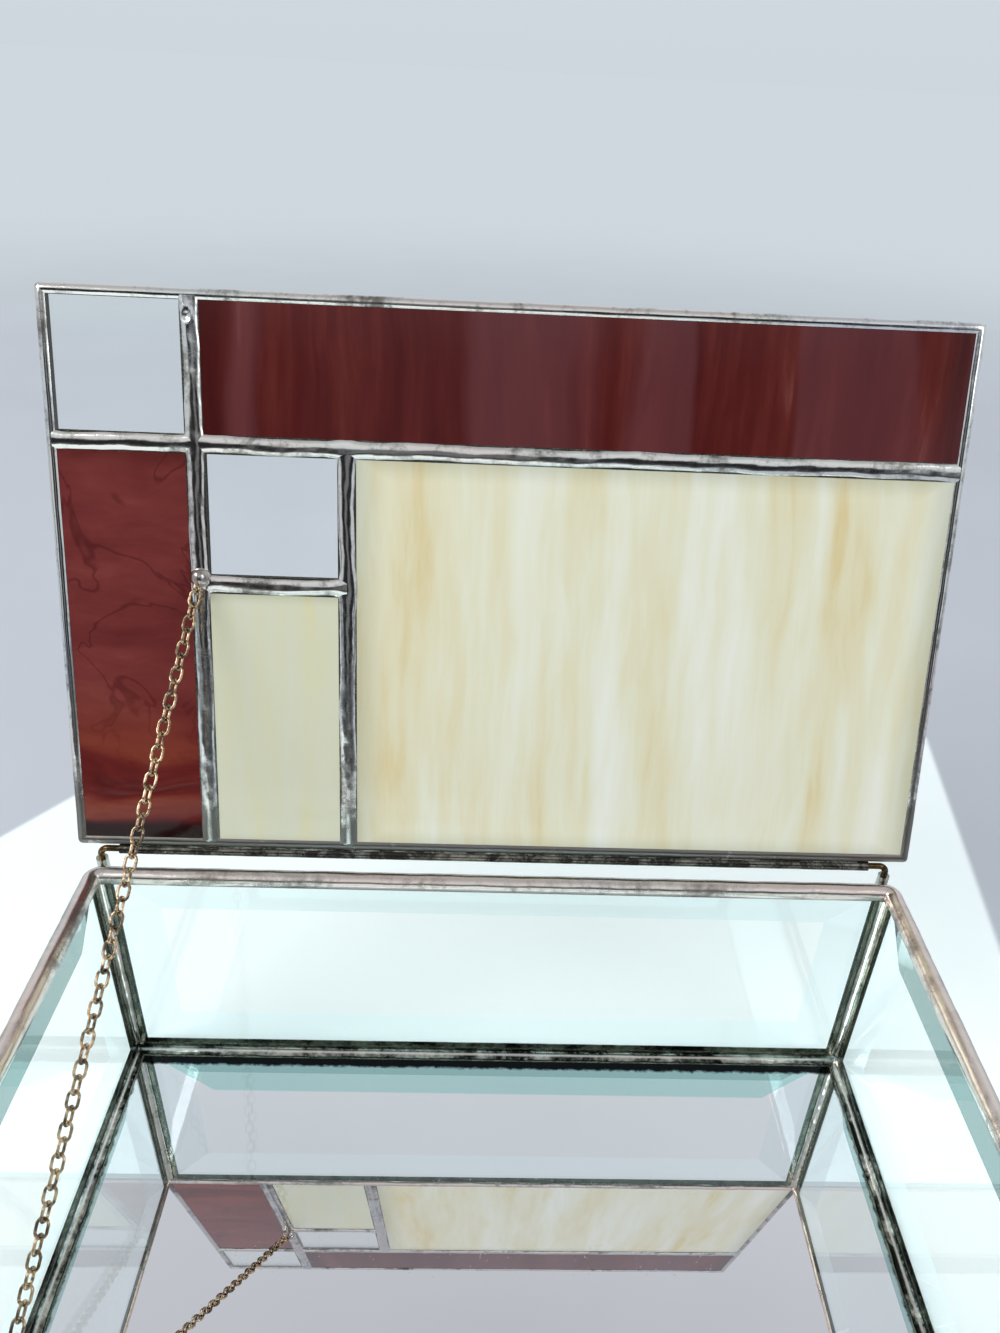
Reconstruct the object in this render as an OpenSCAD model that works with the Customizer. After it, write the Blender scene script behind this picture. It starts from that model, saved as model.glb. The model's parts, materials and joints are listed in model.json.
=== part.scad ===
// Glass casket box, made the copper-foil way: bevelled side panes and six lid
// panes, each wrapped round its edge in foil and joined to its neighbours by
// beads of solder. A tube on the lid turns on a rod whose bent ends are
// soldered to the back corners, and a fine link chain holds the open lid.
//
// Millimetres, +Z up. The origin is the middle of the underside, on which the
// box stands, and the front faces -Y. The lid is drawn open, leaning back as
// far as the straight chain lets it.

/* [Box] */
// Width of the box, over its solder
box_w = 203; // [170:1:240]
// Depth of the box, over its solder
box_d = 127; // [105:1:150]
// Height of the four side panes
pane_h = 63.5; // [50:0.5:80]
// Thickness of a side pane inside its bevels
pane_t = 5; // [4.2:0.1:6]
// Thickness that the bevel leaves at a side pane's edge
edge_t = 3.2; // [2.6:0.1:3.8]
// Width of the bevel round each side pane
bevel_w = 12.7; // [9:0.1:18]
// Thickness of the mirror floor
mirror_t = 3; // [2:0.1:5]

/* [Lid] */
// How far the lid reaches past the box's sides and front
lid_over = 1.8; // [0.8:0.1:4]
// Thickness of the lid's panes
lid_t = 3; // [2.4:0.1:4]
// Width of the corner square, from the lid's left edge to the long seam
corner_w = 32.6; // [24:0.1:45]
// Depth of the corner square, from the lid's front edge to the cross seam
corner_d = 32.7; // [24:0.1:45]
// Width of the two inner panes, seam to seam
inner_w = 33.5; // [20:0.1:45]
// Depth of the inner square, seam to seam
inner_d = 31.4; // [20:0.1:40]
// Angle the lid opens to, from shut
open_angle = 106.6; // [95:0.1:115]
// Gap left between the shut lid's beads and the rim
lid_gap = 0.2; // [0.1:0.05:0.6]

/* [Foil and solder] */
// Thickness of the copper foil
foil_t = 0.05; // [0.03:0.01:0.1]
// How far the foil laps over the faces of a side pane
wall_lap = 2.4; // [1.8:0.1:3]
// How far the foil laps over the faces of a lid pane
lid_lap = 1.7; // [1.2:0.1:2.4]
// Gap between neighbouring edges of the side panes and floor
joint_gap = 0.15; // [0.12:0.01:0.3]
// Gap between neighbouring lid panes
seam_gap = 0.8; // [0.4:0.1:1.4]
// Height of the rim bead above the side panes
rim_crown = 1.2; // [0.8:0.1:1.6]
// Height of a lid seam above the glass
seam_crown = 0.65; // [0.5:0.05:0.9]
// Height of the lid's edge bead above the glass
edge_crown = 0.45; // [0.3:0.05:0.6]
// How far the lid's edge bead stands out past the glass
edge_out = 0.7; // [0.5:0.05:1.1]
// Leg of the fillet where the side panes meet the floor
floor_fillet = 2.2; // [1.4:0.1:2.4]
// Leg of the fillet down each inner corner
corner_fillet = 1.8; // [1:0.1:2.4]

/* [Hinge] */
// Diameter of the hinge rod
rod_d = 1.6; // [1.2:0.1:2]
// Outer diameter of the hinge tube
tube_d = 2.6; // [2.4:0.1:3.2]
// Clearance round the rod inside the tube
rod_clear = 0.05; // [0.03:0.01:0.1]
// How far the hinge axis lies behind the box
hinge_back = 2.4; // [2.2:0.1:3.4]
// How far in from the box's sides the rod's legs stand
leg_in = 3; // [2:0.1:4]
// Inner gap between each end of the tube and the rod's bend
tube_set = 3; // [1:0.5:10]
// Middle radius of the rod's bends
bend_r = 2; // [1.6:0.1:3]
// Length of the rod's legs, below the axis
leg_l = 20; // [14:1:30]
// Wall of solder round each leg
leg_wall = 0.7; // [0.4:0.1:0.9]
// Length of tube left bare of solder at each end
tube_bare = 3; // [2:0.5:6]

/* [Chain] */
// Diameter of the chain's wire
wire_d = 0.65; // [0.5:0.05:0.8]
// Width of a link
link_w = 3.1; // [2.8:0.1:3.6]
// Play left at each crossing of two links
link_play = 0.05; // [0.03:0.01:0.1]
// Links in each of the chain's short runs
run_links = 5; // [3:1:6]
// How far behind the box's front the chain's last link stands
foot_back = 20; // [15:1:40]
// How far in from the left pane the last link stands
foot_in = 1.9; // [1.7:0.1:3]
// Height of the first link's middle over the lid seam that holds it
top_up = 1.5; // [1.3:0.1:2]
// Radius of the drop of solder that holds the first link
drop_r = 2.4; // [2:0.1:3]
// Radius of the drop of solder that holds the last link
foot_drop = 1.7; // [1.5:0.1:1.7]

/* [Hidden] */
$fn = 40;

// Colours of the materials.
glass = [0.80, 0.88, 0.88, 0.35];
silver = [0.74, 0.77, 0.80];
wine = [0.42, 0.10, 0.13, 0.85];
cream = [0.88, 0.86, 0.74, 0.9];
copper = [0.72, 0.45, 0.32];
solder = [0.50, 0.49, 0.50];
bronze = [0.33, 0.30, 0.22];
brass = [0.80, 0.62, 0.34];

// A side pane's outer face rises by this much for each millimetre of bevel.
slope = (pane_t - edge_t) / bevel_w;
// From a pane's inner face to the outside of its foil, at the foil's edge.
lap_t = edge_t + slope * wall_lap + foil_t;

// The rim bead is round: its circle runs through both lower edges of the foil
// and stands rim_crown above the pane. Across, it is measured from the pane's
// inner face; up, from the pane's top.
rim_x = (lap_t - foil_t) / 2;
rim_half = (lap_t + foil_t) / 2;
rim_z = (rim_crown ^ 2 - wall_lap ^ 2 - rim_half ^ 2) / (2 * (wall_lap + rim_crown));
rim_r = rim_crown - rim_z;
// From a pane's inner face to the outside of the solder.
seam_out = rim_x + rim_r;

// Inner faces of the side panes.
in_x = box_w / 2 - seam_out;
in_y = box_d / 2 - seam_out;

// A corner seam is round too: its circle runs through the edges of both panes'
// foil and is as far out as the rim. Its middle is post_m from both faces.
lap_back = joint_gap + wall_lap;
post_b = 2 * (lap_back - lap_t + seam_out);
post_c = lap_back ^ 2 + lap_t ^ 2 - seam_out ^ 2;
post_m = (sqrt(post_b ^ 2 - 4 * post_c) - post_b) / 2;
post_r = seam_out - post_m;

// Heights of the side panes and the rim.
pane_z = mirror_t + joint_gap;
pane_top = pane_z + pane_h;
rim_top = pane_top + rim_crown;
// The corner seams end where the rim's foil ends.
seam_top = pane_top - wall_lap;

// The foot bead covers the floor's edge and the panes' lower foil.
foot_top = pane_z + wall_lap;
foot_mid = foot_top / 2;
foot_r = ((seam_out - lap_t) ^ 2 + foot_mid ^ 2) / (2 * (seam_out - lap_t));
// The floor's foil is wide enough to carry the inner fillet.
floor_lap = edge_t + floor_fillet + 0.2;

// The hinge axis runs through the middle of the shut lid's glass.
axis_y = box_d / 2 + hinge_back;
axis_z = rim_top + lid_gap + seam_crown + lid_t / 2;
rod_r = rod_d / 2;
tube_r = tube_d / 2;
leg_x = box_w / 2 - leg_in;
tube_half = leg_x - bend_r - tube_set;
leg_r = rod_r + leg_wall;
leg_bottom = axis_z - leg_l;
leg_top = rim_top - leg_wall;

// The lid is drawn shut about the hinge axis, its front towards -Y, then turned.
lid_x = box_w / 2 + lid_over;
lid_back = -tube_r - 0.2;
lid_front = -hinge_back - box_d - lid_over;
long_x = corner_w - lid_x;
short_x = long_x + inner_w;
cross_y = lid_front + corner_d;
inner_y = cross_y + inner_d;
half_gap = seam_gap / 2;
glass_x = lid_x - edge_out;
glass_back = lid_back - edge_out;
glass_front = lid_front + edge_out;
// Each pane of the lid: [left, right, front, back].
CORNER = [-glass_x, long_x - half_gap, glass_front, cross_y - half_gap];
FRONT = [long_x + half_gap, glass_x, glass_front, cross_y - half_gap];
SIDE = [-glass_x, long_x - half_gap, cross_y + half_gap, glass_back];
SQUARE = [long_x + half_gap, short_x - half_gap, inner_y + half_gap - inner_d, inner_y - half_gap];
INNER = [long_x + half_gap, short_x - half_gap, inner_y + half_gap, glass_back];
MAIN = [short_x + half_gap, glass_x, cross_y + half_gap, glass_back];

// A lid seam's caps are arcs from foil edge to foil edge.
foil_up = lid_t / 2 + foil_t;
cap_half = half_gap + lid_lap;
cap_rise = seam_crown - foil_t;
cap_r = (cap_half ^ 2 + cap_rise ^ 2) / (2 * cap_rise);
// The lid's edge bead is two arcs that meet at the waist of the edge.
edge_sum = lid_lap + edge_out + edge_crown - foil_t;
edge_sq = (lid_lap + edge_out) ^ 2 + (edge_crown - foil_t) ^ 2;
edge_r = edge_sum - sqrt(edge_sum ^ 2 - edge_sq);
edge_z = lid_t / 2 + edge_crown - edge_r;

// A point of the shut lid, [x, y, z] from the hinge axis, once the lid is open.
function opened(p) = [
    p.x,
    axis_y + p.y * cos(open_angle) + p.z * sin(open_angle),
    axis_z - p.y * sin(open_angle) + p.z * cos(open_angle)
];
// A direction of the open lid, put back on the shut lid.
function shut(d) = [
    d.x,
    d.y * cos(open_angle) - d.z * sin(open_angle),
    d.y * sin(open_angle) + d.z * cos(open_angle)
];

// The chain runs straight from its first link, in a drop of solder on the
// lid's seam, to its last, in a drop on the left foot seam. Its links are as
// long as that takes.
bead_z = -lid_t / 2 - seam_crown;
link_r = (link_w - wire_d) / 2;
first_shut = [long_x, inner_y, bead_z - top_up];
chain_top = opened(first_shut);
chain_foot = [-in_x + foot_in, -box_d / 2 + foot_back, mirror_t + foil_t + link_w / 2 + wire_d];
chain_way = (chain_foot - chain_top) / norm(chain_foot - chain_top);
runs = 12;
links = runs * run_links + 1;
pitch = norm(chain_foot - chain_top) / links;
link_in = pitch + link_play;
// From a link's middle to the middle of the wire at its end, to a thousandth.
link_end = round(500 * (link_in + wire_d)) / 1000;
// Where the far end of the first link lies in its solder, on the shut lid.
top_end = first_shut - shut(chain_way) * link_end;

// Puts a shape drawn at the rear pane's inner face on side i: 0 rear, 1 left,
// 2 front, 3 right.
module on_side(i) {
    rotate([0, 0, 90 * i])
        translate([0, i % 2 == 0 ? in_y : in_x, 0])
            children();
}

// Half of the inner width along side i.
function side_half(i) = i % 2 == 0 ? in_x : in_y;

// Cuts one bevel. The pane's edge lies along X, and the bevel rises with Z.
module bevel_cut(length, grow) {
    rotate([-atan(slope), 0, 0])
        translate([-length / 2, grow, -pane_t])
            cube([length, pane_t, 3 * bevel_w]);
}

// A side pane, flat inside and bevelled outside, grown on all faces by grow.
module bevelled_pane(i, grow = 0) {
    w = 2 * (side_half(i) - joint_gap);
    reach = w + pane_h;
    on_side(i)
        translate([0, 0, pane_z])
            difference() {
                translate([-w / 2 - grow, -grow, -grow])
                    cube([w + 2 * grow, pane_t + 2 * grow, pane_h + 2 * grow]);
                translate([0, edge_t, 0])
                    bevel_cut(reach, grow);
                translate([0, edge_t, pane_h])
                    mirror([0, 0, 1])
                        bevel_cut(reach, grow);
                for (s = [0, 1])
                    mirror([s, 0, 0])
                        translate([-w / 2, edge_t, pane_h / 2])
                            rotate([0, 90, 0])
                                bevel_cut(reach, grow);
            }
}

// The mirror floor, grown on its top and edges by grow.
module floor_plate(grow = 0) {
    x = in_x + edge_t + grow;
    y = in_y + edge_t + grow;
    translate([-x, -y, 0])
        cube([2 * x, 2 * y, mirror_t + grow]);
}

// Foil round a side pane: what the pane gains when grown, less the middle.
module pane_foil(i) {
    w = 2 * (side_half(i) - joint_gap - wall_lap);
    difference() {
        bevelled_pane(i, foil_t);
        bevelled_pane(i);
        on_side(i)
            translate([-w / 2, -pane_t, pane_z + wall_lap])
                cube([w, 3 * pane_t, pane_h - 2 * wall_lap]);
    }
}

// Foil round the floor, trimmed flush with its underside.
module floor_foil() {
    x = in_x + edge_t - floor_lap;
    y = in_y + edge_t - floor_lap;
    difference() {
        floor_plate(foil_t);
        floor_plate();
        translate([-x, -y, -mirror_t])
            cube([2 * x, 2 * y, 3 * mirror_t]);
    }
}

// The box's outline in plan, with its corners as round as the corner seams.
module outline() {
    x = in_x + post_m;
    y = in_y + post_m;
    linear_extrude(2 * rim_top)
        union() {
            square([box_w, 2 * y], center = true);
            square([2 * x, box_d], center = true);
            for (sx = [-1, 1], sy = [-1, 1])
                translate([sx * x, sy * y])
                    circle(post_r);
        }
}

// The stretch of the ring that belongs to side i, mitred at both corners.
module mitre(i) {
    h = side_half(i);
    m = 2 * seam_out;
    on_side(i)
        linear_extrude(2 * rim_top)
            polygon([[-h + m, -m], [h - m, -m], [h + m, m], [-h - m, m]]);
}

// The rim bead of side i, drawn through the glass.
module rim_bar(i) {
    on_side(i)
        intersection() {
            translate([0, rim_x, pane_top + rim_z])
                rotate([0, 90, 0])
                    cylinder(r = rim_r, h = 2 * side_half(i) + 4 * seam_out, center = true);
            translate([-box_w, -box_w, seam_top])
                cube([2 * box_w, 2 * box_w, 2 * wall_lap + rim_crown]);
        }
}

// The rim bead of side i as it lies on the panes.
module rim_seam(i) {
    difference() {
        intersection() {
            rim_bar(i);
            mitre(i);
            outline();
        }
        bevelled_pane(i, foil_t);
        bevelled_pane((i + 1) % 4, foil_t);
        bevelled_pane((i + 3) % 4, foil_t);
    }
}

// The foot seam's section: the outer bead, the joint and the inner fillet.
module foot_section() {
    intersection() {
        translate([seam_out - foot_r, foot_mid])
            circle(foot_r, $fn = 160);
        square([2 * seam_out, foot_top]);
    }
    difference() {
        translate([-floor_fillet, mirror_t])
            square([floor_fillet, floor_fillet]);
        translate([-floor_fillet, mirror_t + floor_fillet])
            circle(floor_fillet);
    }
}

// The foot seam of side i.
module foot_seam(i) {
    difference() {
        intersection() {
            on_side(i)
                rotate([90, 0, 90])
                    linear_extrude(2 * side_half(i) + 4 * seam_out, center = true)
                        foot_section();
            mitre(i);
            outline();
        }
        floor_plate(foil_t);
        bevelled_pane(i, foil_t);
        bevelled_pane((i + 1) % 4, foil_t);
        bevelled_pane((i + 3) % 4, foil_t);
    }
}

// Puts a shape drawn at the rear right inner corner on corner [sx, sy].
module at_corner(sx, sy) {
    mirror([sx < 0 ? 1 : 0, 0, 0])
        mirror([0, sy < 0 ? 1 : 0, 0])
            translate([in_x, in_y, 0])
                children();
}

// A corner seam's section: the round post outside and the fillet inside.
module post_section() {
    difference() {
        translate([post_m, post_m])
            circle(post_r);
        translate([-2 * post_r, -2 * post_r])
            square(2 * post_r);
    }
    difference() {
        translate([-corner_fillet, -corner_fillet])
            square(corner_fillet);
        translate([-corner_fillet, -corner_fillet])
            circle(corner_fillet);
    }
}

// Solder that holds a leg of the hinge rod behind a rear corner.
module leg_sleeve() {
    x = leg_x - in_x;
    y = axis_y - in_y;
    translate([x, y, leg_bottom])
        cylinder(r = leg_r, h = leg_top - leg_bottom);
    translate([x, y, leg_bottom])
        sphere(leg_r);
    translate([x - 0.8 * leg_r, edge_t / 2, leg_bottom])
        cube([1.6 * leg_r, y - edge_t / 2, seam_top - leg_bottom]);
}

// The corner seam at [sx, sy], between the foot seams and the rim.
module corner_seam(sx, sy) {
    difference() {
        at_corner(sx, sy)
            union() {
                translate([0, 0, foot_top])
                    linear_extrude(seam_top - foot_top)
                        post_section();
                if (sy > 0) leg_sleeve();
            }
        bevelled_pane(sy > 0 ? 0 : 2, foil_t);
        bevelled_pane(sx > 0 ? 3 : 1, foil_t);
        rod();
    }
}

// The hinge rod: straight, with both ends bent down behind the corners.
module rod() {
    translate([0, axis_y, axis_z])
        union() {
            rotate([0, 90, 0])
                cylinder(r = rod_r, h = 2 * (leg_x - bend_r), center = true);
            for (s = [0, 1])
                mirror([s, 0, 0])
                    translate([leg_x - bend_r, 0, -bend_r]) {
                        rotate([90, 0, 0])
                            rotate_extrude(angle = 90)
                                translate([bend_r, 0])
                                    circle(rod_r);
                        translate([bend_r, 0, bend_r - leg_l])
                            cylinder(r = rod_r, h = leg_l - bend_r);
                    }
        }
}

// Turns what is drawn about the hinge axis from shut to open.
module lid_frame() {
    translate([0, axis_y, axis_z])
        rotate([-open_angle, 0, 0])
            children();
}

// A lid pane, or the pane with its foil where grow is the foil's thickness.
module lid_plate(c, grow = 0) {
    translate([c[0] - grow, c[2] - grow, -lid_t / 2 - grow])
        cube([c[1] - c[0] + 2 * grow, c[3] - c[2] + 2 * grow, lid_t + 2 * grow]);
}

// Foil round one lid pane.
module plate_foil(c) {
    difference() {
        lid_plate(c, foil_t);
        lid_plate(c);
        translate([c[0] + lid_lap, c[2] + lid_lap, -lid_t])
            cube([c[1] - c[0] - 2 * lid_lap, c[3] - c[2] - 2 * lid_lap, 2 * lid_t]);
    }
}

// A lid seam's section: a web between two panes and a round cap on each face.
module seam_section() {
    square([seam_gap - 2 * foil_t, 2 * foil_up], center = true);
    for (s = [0, 1])
        mirror([0, s])
            intersection() {
                translate([0, foil_up + cap_rise - cap_r])
                    circle(cap_r, $fn = 80);
                translate([-cap_half, foil_up])
                    square([2 * cap_half, cap_rise]);
            }
}

// A lid seam from front to back, at x, between y0 and y1.
module seam_y(x, y0, y1) {
    translate([x, y1, 0])
        rotate([90, 0, 0])
            linear_extrude(y1 - y0)
                seam_section();
}

// A lid seam from left to right, at y, between x0 and x1.
module seam_x(y, x0, x1) {
    translate([x0, y, 0])
        rotate([90, 0, 90])
            linear_extrude(x1 - x0)
                seam_section();
}

module long_seam() {
    seam_y(long_x, glass_front - foil_t, glass_back + foil_t);
}

module cross_seam() {
    difference() {
        seam_x(cross_y, -glass_x - foil_t, glass_x + foil_t);
        long_seam();
    }
}

module short_seam() {
    difference() {
        seam_y(short_x, cross_y, glass_back + foil_t);
        cross_seam();
    }
}

module inner_seam() {
    difference() {
        seam_x(inner_y, long_x, short_x);
        long_seam();
        short_seam();
    }
}

// What is cut away to round the lid's four corners, seen from above.
module lid_corners() {
    for (x = [-lid_x, lid_x], y = [lid_front, lid_back])
        translate([x, y, -lid_t])
            linear_extrude(2 * lid_t)
                difference() {
                    square(2 * edge_r, center = true);
                    translate([-sign(x) * edge_r, (y == lid_back ? -1 : 1) * edge_r])
                        circle(edge_r);
                }
}

// One bar of the lid's edge bead. The glass edge lies along X at y = 0, and
// the bead stands out to +Y.
module edge_bar(length) {
    rotate([90, 0, 90])
        linear_extrude(length, center = true)
            difference() {
                for (s = [-1, 1])
                    translate([edge_out - edge_r, s * edge_z])
                        circle(edge_r);
                translate([-4 * edge_r, -foil_up])
                    square([4 * edge_r + foil_t, 2 * foil_up]);
            }
}

// The lid's edge bead on side i, mitred, with slightly rounded corners.
module edge_seam(i) {
    w = i % 2 == 0 ? glass_x : (glass_back - glass_front) / 2;
    d = i % 2 == 0 ? (glass_back - glass_front) / 2 : glass_x;
    m = 4 * edge_r;
    difference() {
        translate([0, (glass_back + glass_front) / 2, 0])
            intersection() {
                rotate([0, 0, 90 * i])
                    translate([0, d, 0])
                        edge_bar(2 * (w + m));
                rotate([0, 0, 90 * i])
                    translate([0, d, -lid_t])
                        linear_extrude(2 * lid_t)
                            polygon([[-w + m, -m], [w - m, -m], [w + m, m], [-w - m, m]]);
            }
        lid_corners();
        if (i % 2 == 0) {
            long_seam();
            short_seam();
        } else
            seam_x(cross_y, -glass_x - foil_t, glass_x + foil_t);
    }
}

// The solder between the lid's back edge and the hinge tube.
module tube_fillet() {
    l = 2 * (tube_half - tube_bare);
    difference() {
        translate([-l / 2, lid_back - edge_out / 2, -0.7 * tube_r])
            cube([l, edge_out / 2 - lid_back, 1.4 * tube_r]);
        rotate([0, 90, 0])
            cylinder(r = tube_r, h = 2 * l, center = true);
    }
}

// One chain link, drawn round the origin with its length along Z.
module link(turn) {
    side = link_end - link_r;
    rotate([0, 0, turn])
        union() {
            for (s = [-1, 1])
                translate([s * link_r, 0, 0])
                    cylinder(d = wire_d, h = 2 * side, center = true, $fn = 24);
            for (s = [0, 1])
                rotate([0, 180 * s, 0])
                    translate([0, 0, side])
                        rotate([90, 0, 0])
                            rotate_extrude(angle = 180, $fn = 24)
                                translate([link_r, 0])
                                    circle(d = wire_d, $fn = 24);
        }
}

// Link i of the chain where it hangs: even links lie across odd ones.
module chain_link(i) {
    translate(chain_top)
        rotate([0, acos(chain_way.z), atan2(chain_way.y, chain_way.x)])
            translate([0, 0, i * pitch])
                link(i % 2 == 0 ? 0 : 90);
}

// Run k of the chain, counted from the lid: a few links that keep together.
module chain_run(k) {
    color(brass)
        for (i = [1:run_links])
            chain_link((k - 1) * run_links + i);
}

// ---- Pieces ----

module mirror_floor() {
    color(silver) floor_plate();
}

module rear_pane() {
    color(glass) bevelled_pane(0);
}

module left_pane() {
    color(glass) bevelled_pane(1);
}

module front_pane() {
    color(glass) bevelled_pane(2);
}

module right_pane() {
    color(glass) bevelled_pane(3);
}

module box_foil() {
    color(copper) {
        floor_foil();
        for (i = [0:3]) pane_foil(i);
    }
}

module rear_rim() {
    color(solder) rim_seam(0);
}

module left_rim() {
    color(solder) rim_seam(1);
}

module front_rim() {
    color(solder) rim_seam(2);
}

module right_rim() {
    color(solder) rim_seam(3);
}

module rear_foot_seam() {
    color(solder) foot_seam(0);
}

module left_foot_seam() {
    color(solder)
        difference() {
            foot_seam(1);
            chain_link(links);
        }
}

module front_foot_seam() {
    color(solder) foot_seam(2);
}

module right_foot_seam() {
    color(solder) foot_seam(3);
}

module rear_left_seam() {
    color(solder) corner_seam(-1, 1);
}

module rear_right_seam() {
    color(solder) corner_seam(1, 1);
}

module front_left_seam() {
    color(solder) corner_seam(-1, -1);
}

module front_right_seam() {
    color(solder) corner_seam(1, -1);
}

module hinge_rod() {
    color(bronze) rod();
}

module hinge_tube() {
    color(solder)
        lid_frame()
            rotate([0, 90, 0])
                difference() {
                    cylinder(r = tube_r, h = 2 * tube_half, center = true);
                    cylinder(r = rod_r + rod_clear, h = 4 * tube_half, center = true);
                }
}

module lid_corner_square() {
    color(glass) lid_frame() lid_plate(CORNER);
}

module lid_front_strip() {
    color(wine) lid_frame() lid_plate(FRONT);
}

module lid_side_strip() {
    color(wine) lid_frame() lid_plate(SIDE);
}

module lid_inner_square() {
    color(glass) lid_frame() lid_plate(SQUARE);
}

module lid_inner_pane() {
    color(cream) lid_frame() lid_plate(INNER);
}

module lid_main_pane() {
    color(cream) lid_frame() lid_plate(MAIN);
}

module lid_foil() {
    color(copper)
        lid_frame()
            for (c = [CORNER, FRONT, SIDE, SQUARE, INNER, MAIN]) plate_foil(c);
}

module lid_rear_edge() {
    color(solder)
        lid_frame()
            union() {
                edge_seam(0);
                tube_fillet();
            }
}

module lid_left_edge() {
    color(solder) lid_frame() edge_seam(1);
}

module lid_front_edge() {
    color(solder) lid_frame() edge_seam(2);
}

module lid_right_edge() {
    color(solder) lid_frame() edge_seam(3);
}

module lid_long_seam() {
    color(solder)
        difference() {
            lid_frame() long_seam();
            chain_link(0);
        }
}

module lid_cross_seam() {
    color(solder) lid_frame() cross_seam();
}

module lid_short_seam() {
    color(solder) lid_frame() short_seam();
}

module lid_inner_seam() {
    color(solder) lid_frame() inner_seam();
}

module chain_top_solder() {
    color(solder)
        difference() {
            lid_frame()
                difference() {
                    translate([top_end.x, top_end.y, bead_z])
                        sphere(drop_r);
                    translate([-lid_x, lid_front, -foil_up])
                        cube([2 * lid_x, lid_back - lid_front, 4 * lid_t]);
                    long_seam();
                    inner_seam();
                }
            chain_link(0);
        }
}

module chain_top_link() {
    color(brass) chain_link(0);
}

module chain_foot_link() {
    color(brass) chain_link(links);
}

module chain_foot_solder() {
    color(solder)
        difference() {
            translate(chain_foot + chain_way * (link_end + foil_t))
                sphere(foot_drop);
            floor_plate(foil_t);
            bevelled_pane(1, foil_t);
            foot_seam(1);
            chain_link(links);
        }
}

mirror_floor();
rear_pane();
left_pane();
front_pane();
right_pane();
box_foil();
rear_rim();
left_rim();
front_rim();
right_rim();
rear_foot_seam();
left_foot_seam();
front_foot_seam();
right_foot_seam();
rear_left_seam();
rear_right_seam();
front_left_seam();
front_right_seam();
hinge_rod();
hinge_tube();
lid_corner_square();
lid_front_strip();
lid_side_strip();
lid_inner_square();
lid_inner_pane();
lid_main_pane();
lid_foil();
lid_rear_edge();
lid_left_edge();
lid_front_edge();
lid_right_edge();
lid_long_seam();
lid_cross_seam();
lid_short_seam();
lid_inner_seam();
chain_top_solder();
chain_top_link();
chain_run(1);  // chain_01
chain_run(2);  // chain_02
chain_run(3);  // chain_03
chain_run(4);  // chain_04
chain_run(5);  // chain_05
chain_run(6);  // chain_06
chain_run(7);  // chain_07
chain_run(8);  // chain_08
chain_run(9);  // chain_09
chain_run(10);  // chain_10
chain_run(11);  // chain_11
chain_run(12);  // chain_12
chain_foot_link();
chain_foot_solder();
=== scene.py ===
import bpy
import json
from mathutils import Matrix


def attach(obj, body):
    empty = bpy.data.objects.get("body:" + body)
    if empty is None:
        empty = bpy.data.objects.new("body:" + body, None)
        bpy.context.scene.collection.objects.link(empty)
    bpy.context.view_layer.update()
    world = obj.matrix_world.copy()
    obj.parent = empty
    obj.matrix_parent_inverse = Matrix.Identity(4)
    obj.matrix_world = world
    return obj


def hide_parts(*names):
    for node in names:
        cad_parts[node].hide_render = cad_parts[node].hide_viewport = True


bl_info = {
    "name": "Glass Casket Box",
    "version": (1, 0, 0),
    "blender": (4, 5, 0),
    "location": "View3D > Sidebar > Casket Box",
    "description": "Finishes a copper foil glass box: solder beads, art glass, mirror floor, hinge and chain",
    "category": "Object",
}

import json
import math

import bmesh
import bpy
import numpy as np
from bpy.props import FloatProperty, FloatVectorProperty, PointerProperty
from mathutils import Euler, Matrix, Vector

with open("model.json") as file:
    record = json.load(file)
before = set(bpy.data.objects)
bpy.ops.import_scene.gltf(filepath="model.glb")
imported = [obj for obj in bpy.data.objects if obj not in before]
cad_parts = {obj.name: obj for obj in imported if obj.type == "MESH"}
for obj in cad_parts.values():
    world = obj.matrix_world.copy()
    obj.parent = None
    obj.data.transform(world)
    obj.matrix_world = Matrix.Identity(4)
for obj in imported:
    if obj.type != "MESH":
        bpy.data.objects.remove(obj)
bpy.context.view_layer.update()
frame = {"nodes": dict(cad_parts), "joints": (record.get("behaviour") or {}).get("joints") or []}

MM = 0.001
RING_STEP = 1.1 * MM  # length of a square along a bead that goes round the box or the lid
RING_OUT = 3 * MM  # how far outside its origins such a bead's length is measured
SEAM_STEP, SEAM_STEPS = 0.7 * MM, 17  # length of a square along a lid seam's bead, and points across it
SWELL_W = 2.4 * MM  # half width of the swelling where two lid seams meet
SHARP_ANGLE = math.radians(50)
GLASS_IOR, ART_GLASS_IOR = 1.5, 1.52
# Colour of the painted sheen: light that the lid's clear panes give off though they are no lamp.
SHEEN_GLOW_COLOUR = (0.92, 0.98, 1.0)


# ---- What the frame says ----


def cad_points(node):
    """A CAD node's vertices at rest, one row each, in metres."""
    mesh = frame["nodes"][node].data
    points = np.empty(len(mesh.vertices) * 3)
    mesh.vertices.foreach_get("co", points)
    return points.reshape(-1, 3)


HINGE = next(j for j in frame["joints"] if j["name"] == "lid_hinge")
AXIS = np.array(HINGE["pos_m"])
OPEN_ANGLE = math.radians(HINGE["range_deg"][1])


def about_hinge(points, angle):
    """Points turned about the hinge axis, which runs along X: y and z turn by angle, right hand rule."""
    turn = np.array(Matrix.Rotation(angle, 3, "X"))
    return (points - AXIS) @ turn.T + AXIS


def opened(points):
    """Points given from the hinge axis on the shut lid, put where the open lid has them."""
    return about_hinge(points + AXIS, -OPEN_ANGLE)


def shut_box(node):
    """Lowest and highest corner of a lid node on the shut lid, measured from the hinge axis."""
    points = about_hinge(cad_points(node), OPEN_ANGLE) - AXIS
    return points.min(0), points.max(0)


def cad_box(node):
    """Lowest and highest corner of a CAD node at rest."""
    points = cad_points(node)
    return points.min(0), points.max(0)


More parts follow.
